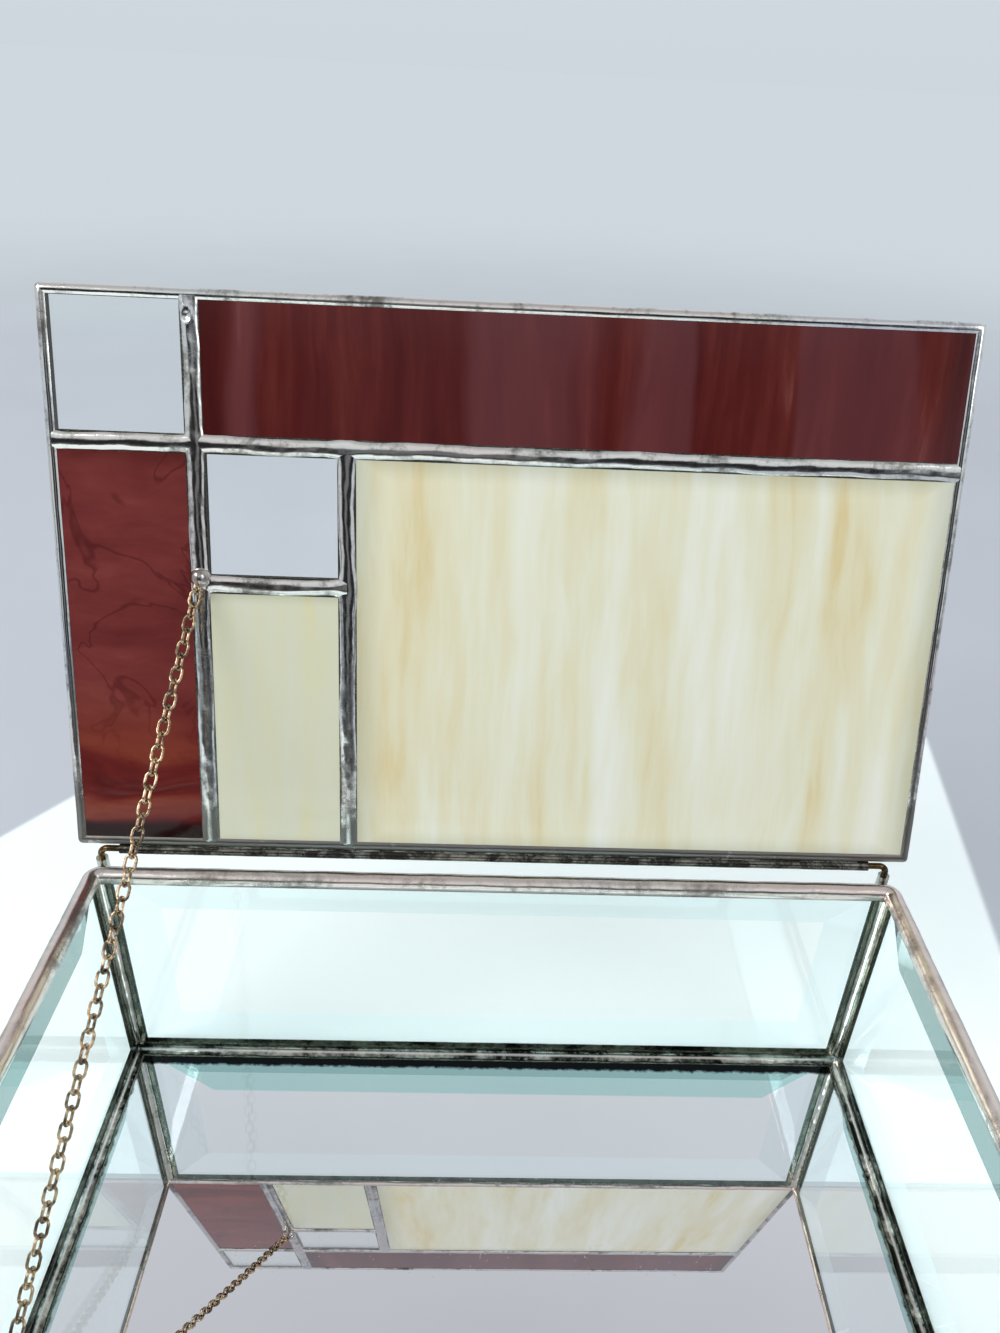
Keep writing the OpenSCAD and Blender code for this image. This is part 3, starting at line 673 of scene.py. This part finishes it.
def lumps(t, length, seed, across):
    """How far a bead's surface lies under its full shape, as a share of it: MOST_LUMPS times half the
    unevenness plus a half."""
    amount = MOST_LUMPS * bpy.context.scene.casket_metal.unevenness
    return amount * (0.5 + 0.5 * unevenness(t, length, seed, across))


def rim_section(t, length, seed):
    """The rim bead: a circle as wide as the seams' outside, from the foil's lower edge outside, over the top,
    to the foil's lower edge inside. Its radius is full at both edges and lumpy between. It is closed along
    the pane's foil."""
    inside = cad_box("rear_rim")[0][1] - INNER_Y
    r, centre = (SEAM_OUT - inside) / 2, (SEAM_OUT + inside) / 2
    height = RIM_TOP - r
    low = math.acos((RIM_LOW - height) / r)
    a = np.linspace(low, -low, 30)[None]
    k = 1 - lumps(t, length, seed, a) * (1 - (a / low) ** 8)
    corners = [(-FOIL_T, PANE_TOP + FOIL_T), (EDGE_T + FOIL_T, PANE_TOP + FOIL_T)]
    return closed(centre + r * k * np.sin(a), height + r * k * np.cos(a), corners)


def foot_section(t, length, seed):
    """The foot's outer bead: a shallow arc from the ground up to the foil's upper edge, closed along plate
    and pane."""
    middle, bulge = FOOT_TOP / 2, SEAM_OUT - LAP_OUT
    r = (middle**2 + bulge**2) / (2 * bulge)
    z = np.linspace(0, FOOT_TOP, 18)[None] + 0 * t
    rise = np.sqrt(r**2 - (z - middle) ** 2) - (r - bulge)
    rise = rise * (1 - 6 * lumps(t, length, seed, z / FOOT_TOP))
    return closed(LAP_OUT + rise, z, [(EDGE_T, FOOT_TOP), (EDGE_T, 0)])


def fillet_section(t, length, seed):
    """The foot's inner fillet: a hollow quarter circle between mirror and pane, drawn closer to their corner
    by lumps."""
    b = np.linspace(0, np.pi / 2, 14)[None]
    k = 1 - 3 * lumps(t, length, seed, b)
    out, up = -FOOT_FILLET * (1 - np.sin(b)) * k, FLOOR_TOP + FOOT_FILLET * (1 - np.cos(b)) * k
    out, up = np.minimum(out, -FOIL_T), np.maximum(up, FLOOR_TOP + FOIL_T)
    return closed(out, up, [(-FOIL_T, FLOOR_TOP + FOIL_T)])


def lid_edge_section(t, length, seed):
    """The lid's edge bead: an arc from the upper foil edge to the outside, and its mirror image below. Both
    arcs are centred inside the glass; the radius is full at the foil and lumpy outside. It is closed round
    the glass edge."""
    outside = LID_HI[0] - GLASS_HI[0]
    height = shut_box("lid_left_edge")[1][2] - EDGE_R
    first = -math.acos((FOIL_UP - height) / EDGE_R)
    a = np.linspace(first, np.pi / 2, 16)
    a, side = np.concatenate([a, a[::-1]])[None], np.repeat([1.0, -1.0], 16)[None]
    k = 1 - lumps(t, length, seed, np.where(side > 0, a, np.pi - a)) * np.minimum(1, (a - first) / 0.5)
    out = outside - EDGE_R + EDGE_R * k * np.sin(a)
    up = side * (height + EDGE_R * k * np.cos(a))
    return closed(out, up, [(FOIL_T, -FOIL_UP), (FOIL_T, FOIL_UP)])


def make_rim(finish):
    """One lumpy bead round the top of the four panes."""
    grid = swept_ring(INNER_X, INNER_Y, CORNER, rim_section, 3)
    settle(surface("rim_bead", [grid], wrap_u=True), finish, "rim_solder", "box",
           "rear_rim", "left_rim", "front_rim", "right_rim")


def make_foot(finish):
    """The bead outside and the fillet inside the foot of the four panes."""
    outer = swept_ring(INNER_X, INNER_Y, CORNER, foot_section, 11)
    inner = swept_ring(INNER_X, INNER_Y, CORNER, fillet_section, 17)
    settle(surface("foot_bead", [outer, inner], wrap_u=True), finish, "dark_solder", "box",
           "rear_foot_seam", "left_foot_seam", "front_foot_seam", "right_foot_seam")


def post_grids(sx, sy):
    """A corner seam: a round post outside, whose arc is centred inside both inner faces, and a hollow fillet
    inside. Both keep their edges on the foil. A rear post also holds the rod's leg in a sleeve with a rounded
    lower end, joined to it by a web with an oval section, from near the post's middle to the leg's."""
    z = np.linspace(FOOT_TOP, SEAM_TOP, 90)[:, None]
    length, seed = SEAM_TOP - FOOT_TOP, 20 + 3 * sx + sy
    r = SEAM_OUT + CORNER
    first = math.atan2(CORNER - WALL_LAP - JOINT_GAP, LAP_OUT + CORNER)
    a = np.linspace(first, np.pi / 2 - first, 30)[None]
    share = (2 * (a - first) / (np.pi / 2 - 2 * first) - 1) ** 8
    k = 1 - lumps(z - FOOT_TOP, length, seed, a) * (1 - share)
    core = [(-POST_CORE, EDGE_T), (-POST_CORE, -POST_CORE), (EDGE_T, -POST_CORE)]
    post = points_at(*closed(-CORNER + r * k * np.cos(a), -CORNER + r * k * np.sin(a), core), z)
    b = np.linspace(0, np.pi / 2, 12)[None]
    k = 1 - 3 * lumps(z - FOOT_TOP, length, seed + 7, b)
    x = np.minimum(-CORNER_FILLET * (1 - np.sin(b)) * k, -FOIL_T)
    y = np.minimum(-CORNER_FILLET * (1 - np.cos(b)) * k, -FOIL_T)
    grids = [post, points_at(*closed(x, y, [(-FOIL_T, -FOIL_T)]), z)]
    if sy > 0:
        leg_x, leg_y = LEG_X - INNER_X, AXIS[1] - INNER_Y
        radius, top = ROD_R + SLEEVE_WALL, RIM_TOP - SLEEVE_DROP
        end = SLEEVE_LOW - radius * np.cos(np.linspace(0.05, np.pi / 2, 10))
        z = np.concatenate([end, np.linspace(SLEEVE_LOW, top, 46)[1:]])[:, None]
        b = circle(24)[None]
        wide = radius * np.sqrt(1 - np.clip((SLEEVE_LOW - z) / radius, 0, 1) ** 2)
        wide = wide * (1 - lumps(z - z[0], top - z[0, 0], seed + 13, b / 4))
        grids.append(points_at(leg_x + wide * np.cos(b), leg_y + wide * np.sin(b), z))
        z = np.linspace(SLEEVE_LOW, SEAM_TOP, 40)[:, None]
        wide = 0.8 * radius * (1 - 2 * lumps(z - SLEEVE_LOW, SEAM_TOP - SLEEVE_LOW, seed + 17, b / 4))
        middle, reach = (leg_y + WEB_NEAR) / 2, (leg_y - WEB_NEAR) / 2
        grids.append(points_at(leg_x + wide * np.cos(b), middle + reach * np.sin(b), z))
    return [(g + [INNER_X, INNER_Y, 0]) * [sx, sy, 1] for g in grids]


def make_corners(finish):
    """The four upright corner seams."""
    for sy, depth in ((1, "rear"), (-1, "front")):
        for sx, side in ((-1, "left"), (1, "right")):
            obj = surface(f"{depth}_{side}_post", post_grids(sx, sy))
            settle(obj, finish, "corner_solder", "box", f"{depth}_{side}_seam")


def make_lid_edge(finish, web_finish):
    """The lid's edge bead, and the lumpy web of solder that holds the hinge tube to it, thicker behind the
    two seams that run to the hinge."""
    middle = (GLASS_LO[1] + GLASS_HI[1]) / 2
    outside = LID_HI[0] - GLASS_HI[0]
    grid = swept_ring(GLASS_HI[0], GLASS_HI[1] - middle, EDGE_R - outside, lid_edge_section, 31)
    grid = opened(grid + [0, middle, 0])
    settle(surface("lid_edge_bead", [grid], wrap_u=True), finish, "lid_solder", "lid",
           "lid_rear_edge", "lid_left_edge", "lid_front_edge", "lid_right_edge")
    x = np.linspace(-WEB_HALF, WEB_HALF, 240)[:, None]
    b = circle(20)[None]
    thick = WEB_UP * (1 - 3 * lumps(x + WEB_HALF, 2 * WEB_HALF, 37, b / 4))
    for seam in (LONG_X, SHORT_X):
        thick = thick + WEB_SWELL * bell((x - seam) / WEB_SWELL_W)
    up = thick * np.sign(np.sin(b)) * np.abs(np.sin(b)) ** 0.6
    web = points_at(x, WEB_Y + WEB_REACH * np.cos(b), up)
    settle(surface("lid_tube_web", [opened(web)]), web_finish, "lid_solder", "lid")


def make_lid_seams(finish):
    """The lid's seams: one bead on each face, swollen where they meet. The long one has a small pit near the
    front on the lower face, and each seam that runs to the hinge ends in a small drop there."""
    half, crown, base = (LONG_HI[0] - LONG_LO[0]) / 2, LONG_HI[2] - FOIL_UP, FOIL_UP
    front, back = LID_FRONT + SEAM_INSET, LID_BACK - SEAM_INSET
    left, right = LID_LO[0] + SEAM_INSET, LID_HI[0] - SEAM_INSET
    seams = {
        "lid_long_seam": ((LONG_X, front), (LONG_X, back), (CROSS_Y, INNER_SEAM_Y), 41),
        "lid_cross_seam": ((left, CROSS_Y), (right, CROSS_Y), (LONG_X, SHORT_X), 47),
        "lid_short_seam": ((SHORT_X, CROSS_Y), (SHORT_X, back), (CROSS_Y, INNER_SEAM_Y), 53),
        "lid_inner_seam": ((LONG_X, INNER_SEAM_Y), (SHORT_X, INNER_SEAM_Y), (LONG_X, SHORT_X), 59),
    }
    for node, (start, end, meets, seed) in seams.items():
        along = 0 if start[1] == end[1] else 1
        swells = [(abs(place - start[along]), 0.3) for place in meets]
        swells += [(0, 0.2), (abs(end[along] - start[along]), 0.2)]
        grids = []
        for side in (1, -1):
            pits = [SEAM_PIT] if node == "lid_long_seam" and side < 0 else ()
            bead = strip(start, end, half / SEAM_SPREAD, crown, base, seed + side, swells, pits, side=side)
            across, place = bead[..., 1 - along], start[1 - along]
            np.clip(across, place - half, place + half, out=across)
            grids.append(opened(bead))
        settle(surface(f"{node}_beads", grids), finish, "lid_solder", "lid", node)
    drops = []
    for n, x in enumerate((LONG_X, SHORT_X)):
        for side in (1, -1):
            drop = blob((x, LID_BACK - DROP_IN, side * DROP_UP), DROP_RADII, 61 + n, 0.06)
            drops.append(opened(drop))
    settle(surface("lid_joint_drops", drops), finish, "lid_solder", "lid")


def link_grid(i):
    """Link i of the chain: a wire on a path of two straight sides and two half circles. Even links lie in the
    plane of the chain and the vertical; odd ones lie across. A point of the path lies, in the direction of
    its angle q, one radius from the middle of its half circle, and both middles lie on the chain's line."""
    way = CHAIN_STEP / np.linalg.norm(CHAIN_STEP)
    level = np.array([-way[1], way[0], 0]) / np.hypot(way[0], way[1])
    plane = np.cross(level, way) if i % 2 == 0 else level
    normal = np.cross(plane, way)
    r = (LINK_W - WIRE) / 2
    side = (np.linalg.norm(CHAIN_STEP) + LINK_PLAY + WIRE) / 2 - r
    q = circle(40)
    q = q + 0.5 * (q[1] - q[0])
    spoke = np.cos(q)[:, None] * plane + np.sin(q)[:, None] * way
    path = CHAIN_TOP + i * CHAIN_STEP + r * spoke + side * np.sign(np.sin(q))[:, None] * way
    b = circle(12)[None, :, None]
    return path[:, None] + WIRE / 2 * (np.cos(b) * spoke[:, None] + np.sin(b) * normal)


def make_chain(brass, drop):
    """The chain's links and the two drops of solder that hold its ends. The drops are clipped to the lid's
    face and to the box's floor and pane."""
    top = surface("chain_link_top", [link_grid(0)], wrap_u=True)
    settle(top, brass, "chain_brass", "lid", "chain_top_link")
    for k in range(RUNS):
        name = f"chain_{k + 1:02d}"
        grids = [link_grid(k * RUN_LINKS + i + 1) for i in range(RUN_LINKS)]
        settle(surface(f"{name}_links", grids, wrap_u=True), brass, "chain_brass", name, name)
    foot = surface("chain_link_foot", [link_grid(LINKS)], wrap_u=True)
    settle(foot, brass, "chain_brass", "box", "chain_foot_link")

    low, high = shut_box("chain_top_solder")
    r = (high[0] - low[0]) / 2
    top = blob(((low[0] + high[0]) / 2, (low[1] + high[1]) / 2, low[2] + r), (r, r, r), 71, 0.05, 20, 32)
    top[..., 2] = np.minimum(top[..., 2], -LID_TOP)
    settle(surface("chain_drop_top", [opened(top)]), drop, "chain_solder", "lid", "chain_top_solder")
    low, high = cad_box("chain_foot_solder")
    r = (high[1] - low[1]) / 2
    foot = blob((high[0] - r, (low[1] + high[1]) / 2, high[2] - r), (r, r, r), 73, 0.05, 20, 32)
    foot = np.maximum(foot, [-INNER_X + FOIL_T, -1, FLOOR_TOP + FOIL_T])
    settle(surface("chain_drop_foot", [foot]), drop, "chain_solder", "box", "chain_foot_solder")


# ---- Stage ----


def stage_object(name, data):
    """Puts a camera, a lamp or the floor into the scene as part of the stage."""
    obj = bpy.data.objects.new(name, data)
    bpy.context.scene.collection.objects.link(obj)
    return obj


HORIZON = rgb(206, 214, 222)  # the room's colour at eye level
# The table's three visible edges: the outward direction, and the edge's distance from the origin along it.
TABLE_EDGES = (((0.987, -0.159), 147 * MM), ((-0.816, 0.579), 227 * MM), ((0.0, 1.0), 226 * MM))
EDGE_BLUR = 1.5 * MM
FLOOR_HALF, FLOOR_Z = 25.0, -0.4 * MM
LAMP_TARGET = (0, 0, 60 * MM)
FRAME_SHIFT, NEAREST, FARTHEST = (-0.01785, 0.0005), 0.01, 30.0  # the camera's shift and what it sees


def table_material():
    """A pale table top painted on the floor, with soft edges, and a cooler floor round it that fades into the
    room far behind. The table ends where a point's distance along an edge's direction passes the edge's.
    Reflections see a dark room in front of the table."""
    look = bpy.context.scene.casket_stage
    made, wires, shader = material("Table and floor")
    parts = wires.split(object_place(wires))
    reach = wires.add("ShaderNodeVectorMath", {0: object_place(wires)}, operation="LENGTH").outputs["Value"]
    far = wires.times(wires.remap(reach, 0.7, 2.2), wires.remap(parts[1], -0.5, 0.5))
    ray = wires.add("ShaderNodeLightPath").outputs
    seen = wires.larger(ray["Is Glossy Ray"], ray["Is Transmission Ray"])
    seen = wires.larger(ray["Is Camera Ray"], seen)
    dark = wires.times(wires.remap(parts[1], -0.6, -0.9), ray["Is Glossy Ray"])
    inside = None
    for (x, y), limit in TABLE_EDGES:
        along = wires.plus(wires.times(parts[0], x), wires.times(parts[1], y))
        edge = wires.remap(along, limit - EDGE_BLUR, limit + EDGE_BLUR, 1.0, 0.0)
        inside = edge if inside is None else wires.times(inside, edge)
    grain = wires.remap(wires.noise(object_place(wires), 9.0, 3.0), 0.3, 0.7, 0.97, 1.0)
    colour = wires.mix(inside, look.floor_colour, look.table_colour)
    grey = wires.join(grain, grain, grain)
    colour = wires.mix(1.0, colour, grey, "MULTIPLY")
    colour = wires.mix(wires.larger(far, dark), colour, (0.01, 0.01, 0.01))
    glow = wires.times(wires.times(inside, look.table_glow), wires.minus(1.0, dark))
    strength = wires.times(wires.larger(glow, far), seen)
    glow = wires.mix(far, look.table_colour, HORIZON)
    wires.fill(shader.inputs, {"Base Color": colour, "Emission Color": glow, "Emission Strength": strength,
                               "Roughness": 0.55, "Specular IOR Level": wires.remap(far, 0.0, 0.2, 0.2, 0.0)})
    return made


def lamp(name, place, target, size, power, colour):
    """A rectangular lamp that faces its target."""
    light = bpy.data.lights.new(name, "AREA")
    light.shape, light.size, light.size_y, light.energy, light.color = "RECTANGLE", *size, power, colour
    obj = stage_object(name, light)
    obj.location = place
    obj.rotation_euler = (Vector(target) - Vector(place)).to_track_quat("-Z", "Y").to_euler()


def make_camera(look):
    """The camera, at the photograph's viewpoint."""
    camera = bpy.data.cameras.new("Camera")
    camera.sensor_width, camera.sensor_fit, camera.lens = 36.0, "AUTO", look.lens
    camera.shift_x, camera.shift_y = FRAME_SHIFT
    camera.clip_start, camera.clip_end = NEAREST, FARTHEST
    obj = stage_object("Camera", camera)
    obj.location = look.camera_place
    obj.rotation_euler = Euler([math.radians(a) for a in look.camera_turn])
    bpy.context.scene.camera = obj


def make_world(look):
    """A pale room, coloured by the z of the direction. Reflections see it dark in front of the object, with a
    greyer strip in the middle; both are bounded by the direction's x and z."""
    world = bpy.data.worlds.new("Room")
    world.use_nodes = True
    sky = Wires(world.node_tree)
    way = sky.split(sky.add("ShaderNodeTexCoord").outputs["Generated"])
    upper = [(0.35, rgb(220, 225, 231)), (0.65, rgb(232, 235, 238)), (1.0, rgb(184, 187, 192))]
    air = sky.ramp(way[2], [(0.0, HORIZON), *upper])
    side = sky.absolute(sky.plus(way[0], 0.06))
    front = sky.times(sky.remap(side, 0.42, 0.55, 1.0, 0.0), sky.remap(way[2], 0.3, 0.42, 1.0, 0.0))
    front = sky.times(front, sky.remap(way[1], 0.0, -0.5))
    front = sky.times(front, sky.add("ShaderNodeLightPath").outputs["Is Glossy Ray"])
    dim = sky.mix(sky.remap(side, 0.09, 0.14), rgb(118, 120, 124), rgb(34, 35, 38))
    background = world.node_tree.nodes["Background"]
    sky.feed(background.inputs["Color"], sky.mix(front, air, dim))
    background.inputs["Strength"].default_value = look.room_light
    bpy.context.scene.world = world


def make_floor():
    """A wide square just under the object."""
    corners = [(x * FLOOR_HALF, y * FLOOR_HALF, FLOOR_Z) for x, y in ((-1, -1), (1, -1), (1, 1), (-1, 1))]
    floor = bpy.data.meshes.new("Floor")
    floor.from_pydata(corners, [], [(0, 1, 2, 3)])
    floor.materials.append(table_material())
    stage_object("Floor", floor)


# ---- Add-on ----


def number(name, text, default, low, high, **more):
    """A number that the panel shows."""
    return FloatProperty(name=name, description=text, default=default, min=low, max=high, **more)


def shade(name, text, default):
    """A colour that the panel shows, as linear values."""
    return FloatVectorProperty(name=name, description=text, default=default, min=0, max=1, subtype="COLOR")


class CasketMetal(bpy.types.PropertyGroup):
    """The solder's and the other metals' look"""

    unevenness: number("Unevenness", "How lumpy the hand soldered beads are", 1.0, 0.0, 2.0, subtype="FACTOR")
    tarnish: number("Tarnish", "How much of each metal the tarnish covers", 1.0, 0.0, 1.6, subtype="FACTOR")


class CasketGlass(bpy.types.PropertyGroup):
    """The glass's and the mirror's look"""

    # Painted sheen: a faint glow on the lid's clear panes.
    sheen_glow: number("Sheen glow", "Pale light that lies on the lid's clear panes", 0.035, 0.0, 1.0)
    clear_colour: shade("Clear glass", "Tint of the clear panes", rgb(251, 254, 253))
    bevel_colour: shade("Bevels", "Tint of the panes' bevelled faces", rgb(234, 249, 250))
    trapped_light: shade("Trapped light", "Light that the bevels keep inside the glass", rgb(150, 182, 181))
    # Painted reflection: the panes' bevels as the mirror would show them.
    bevel_reflection_tint: shade("Bevel reflection", "Tint of the mirror's band at front and back", rgb(208, 240, 236))
    mirror_colour: shade("Mirror", "Tint of the mirror floor", rgb(240, 240, 244))
    smudges: number("Smudges", "Smudges and dust on the glass", 0.6, 0.0, 2.0, subtype="FACTOR")
    streaks: number("Fine streaks", "Share of fine streaks in the art glass", 1.0, 0.0, 2.0, subtype="FACTOR")


class CasketStage(bpy.types.PropertyGroup):
    """Camera, table and light"""

    camera_place: FloatVectorProperty(
        name="Camera place",
        description="Where the camera stands",
        default=(-0.004596, -0.12336, 0.2412),
        subtype="TRANSLATION",
        unit="LENGTH",
    )
    camera_turn: FloatVectorProperty(
        name="Camera turn",
        description="The camera's rotation about X, Y and Z, in degrees",
        default=(58.674, -2.607, -0.915),
    )
    lens: number("Lens", "Focal length in millimetres", 27.017, 10.0, 100.0)
    table_colour: shade("Table", "Colour of the table top", rgb(238, 248, 248))
    floor_colour: shade("Floor", "Colour of the floor behind the table", rgb(206, 211, 219))
    table_glow: number("Table glow", "Strength of the table top's own white", 0.26, 0.0, 4.0)
    room_light: number("Room light", "Strength of the light from all round", 1.0, 0.0, 4.0)
    window_light: number("Window light", "Power of the large lamp on the left", 7.0, 0.0, 100.0, unit="POWER")
    fill_light: number("Fill light", "Power of the soft lamp on the right", 1.5, 0.0, 100.0, unit="POWER")


class CASKET_OT_stage(bpy.types.Operator):
    """Camera, world, lamps and floor"""

    bl_idname = "casket.stage"
    bl_label = "Stage"
    bl_options = {"REGISTER", "UNDO"}

    def execute(self, context):
        look = context.scene.casket_stage
        make_camera(look)
        make_world(look)
        context.scene.view_settings.view_transform = "Standard"
        make_floor()
        lamp("Window", (-0.9, -0.45, 0.9), LAMP_TARGET, (0.7, 0.5), look.window_light, (1.0, 0.99, 0.97))
        lamp("Fill", (0.8, -0.6, 0.7), LAMP_TARGET, (0.3, 0.6), look.fill_light, (0.97, 0.98, 1.0))
        return {"FINISHED"}


class CASKET_OT_glass(bpy.types.Operator):
    """Materials of the clear panes, the art glass, the mirror floor and the foil"""

    bl_idname = "casket.glass"
    bl_label = "Glass, mirror and foil"
    bl_options = {"REGISTER", "UNDO"}

    def execute(self, context):
        bevelled = clear_material("Bevelled clear glass", True)
        dress(bevelled, "rear_pane", "left_pane", "front_pane", "right_pane")
        dress(clear_material("Clear lid glass", False), "lid_corner_square", "lid_inner_square")
        dress(mirror_material(), "mirror_floor")
        upright = (95.0, 10.0, 0.006)
        wine = art_material("Wine glass with upright streaks", WINE, upright, False, 0.25, bands=SMOKE)
        dress(wine, "lid_front_strip")
        level, over = (90.0, 26.0, 0.012), {"veins": INK, "reflection_streaks": REFLECTION_RAMP}
        wine = art_material("Wine glass with thin veins", EVEN_WINE, level, True, 0.2, **over)
        dress(wine, "lid_side_strip")
        dress(art_material("Cream glass", CREAM, (60.0, 7.0, 0.005), False, 0.4), "lid_main_pane")
        dress(art_material("Pale cream glass", PALE_CREAM, (70.0, 7.0, 0.005), False, 0.4), "lid_inner_pane")
        foil = metal_material("Tinned copper foil", (150, 150, 136), (92, 98, 90), 260.0, 0.5, bump=0.8)
        dress(foil, "box_foil", "lid_foil")
        return {"FINISHED"}


class CASKET_OT_rim(bpy.types.Operator):
    """The solder bead round the top of the panes"""

    bl_idname = "casket.rim"
    bl_label = "Rim bead"
    bl_options = {"REGISTER", "UNDO"}

    def execute(self, context):
        colours = (228, 220, 215), (140, 132, 130)
        make_rim(metal_material("Rim solder", *colours, 60.0, 0.42, bump=0.25, crown_wear_and_highlight=True, satin=0.08))
        return {"FINISHED"}


class CASKET_OT_foot(bpy.types.Operator):
    """The solder bead and fillet round the foot of the panes"""

    bl_idname = "casket.foot"
    bl_label = "Foot bead"
    bl_options = {"REGISTER", "UNDO"}

    def execute(self, context):
        colours = (206, 206, 200), (30, 31, 31)
        make_foot(metal_material("Nearly black solder", *colours, 90.0, 0.56, bump=0.12, crown_wear_and_highlight=True))
        return {"FINISHED"}


class CASKET_OT_corners(bpy.types.Operator):
    """The four upright corner seams"""

    bl_idname = "casket.corners"
    bl_label = "Corner seams"
    bl_options = {"REGISTER", "UNDO"}

    def execute(self, context):
        colours = (192, 197, 190), (112, 118, 111)
        make_corners(metal_material("Grey green solder", *colours, 85.0, 0.46, bump=0.25, crown_wear_and_highlight=True))
        return {"FINISHED"}


class CASKET_OT_lid_solder(bpy.types.Operator):
    """The lid's edge bead and its seams"""

    bl_idname = "casket.lid_solder"
    bl_label = "Lid solder"
    bl_options = {"REGISTER", "UNDO"}

    def execute(self, context):
        colours = (226, 226, 224), (122, 120, 117)
        finish = metal_material("Lid solder", *colours, 95.0, 0.38, bump=0.22, crown_wear_and_highlight=True, hinge=0.5)
        web_finish = metal_material("Hinge solder", (158, 154, 148), (52, 50, 46), 90.0, 0.6, bump=0.3)
        make_lid_edge(finish, web_finish)
        make_lid_seams(finish)
        return {"FINISHED"}


class CASKET_OT_hinge(bpy.types.Operator):
    """Materials of the hinge rod and its tube"""

    bl_idname = "casket.hinge"
    bl_label = "Hinge"
    bl_options = {"REGISTER", "UNDO"}

    def execute(self, context):
        dress(metal_material("Dark bronze rod", (136, 112, 74), (52, 42, 30), 160.0, 0.6), "hinge_rod")
        dress(metal_material("Tinned tube", (150, 146, 136), (58, 55, 50), 140.0, 0.6), "hinge_tube")
        return {"FINISHED"}


class CASKET_OT_chain(bpy.types.Operator):
    """The chain's links and the drops of solder at its ends"""

    bl_idname = "casket.chain"
    bl_label = "Chain"
    bl_options = {"REGISTER", "UNDO"}

    def execute(self, context):
        brass = metal_material("Chain brass", (218, 190, 157), (90, 76, 62), 420.0, 0.54, bump=0.15)
        make_chain(brass, metal_material("Chain solder", (176, 170, 168), (104, 100, 98), 150.0, 0.45))
        return {"FINISHED"}


class CASKET_PT_panel(bpy.types.Panel):
    """The settings, and one button for each operator"""

    bl_idname = "CASKET_PT_panel"
    bl_label = "Glass casket box"
    bl_space_type = "VIEW_3D"
    bl_region_type = "UI"
    bl_category = "Casket Box"

    def draw(self, context):
        for settings in SETTINGS:
            box = self.layout.box()
            box.label(text=settings.removeprefix("casket_").capitalize())
            values = getattr(context.scene, settings)
            for name in values.__annotations__:
                box.prop(values, name)
        for operator in STEPS:
            self.layout.operator(operator.bl_idname)


STEPS = (CASKET_OT_stage, CASKET_OT_glass, CASKET_OT_rim, CASKET_OT_foot, CASKET_OT_corners,
         CASKET_OT_lid_solder, CASKET_OT_hinge, CASKET_OT_chain)
SETTINGS = {"casket_metal": CasketMetal, "casket_glass": CasketGlass, "casket_stage": CasketStage}


def register():
    """Registers the add-on's classes and gives every scene its settings."""
    for cls in (*SETTINGS.values(), *STEPS, CASKET_PT_panel):
        bpy.utils.register_class(cls)
    for name, cls in SETTINGS.items():
        setattr(bpy.types.Scene, name, PointerProperty(type=cls))


def unregister():
    """Takes the settings and the classes away again."""
    for name in SETTINGS:
        delattr(bpy.types.Scene, name)
    for cls in (CASKET_PT_panel, *reversed(STEPS), *reversed(list(SETTINGS.values()))):
        bpy.utils.unregister_class(cls)


def main():
    """Registers the add-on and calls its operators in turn."""
    register()
    make_groups()
    for step in STEPS:
        section, name = step.bl_idname.split(".")
        if getattr(getattr(bpy.ops, section), name)() != {"FINISHED"}:
            raise RuntimeError(f"{step.bl_idname} didn't finish")


if __name__ == "__main__":
    main()
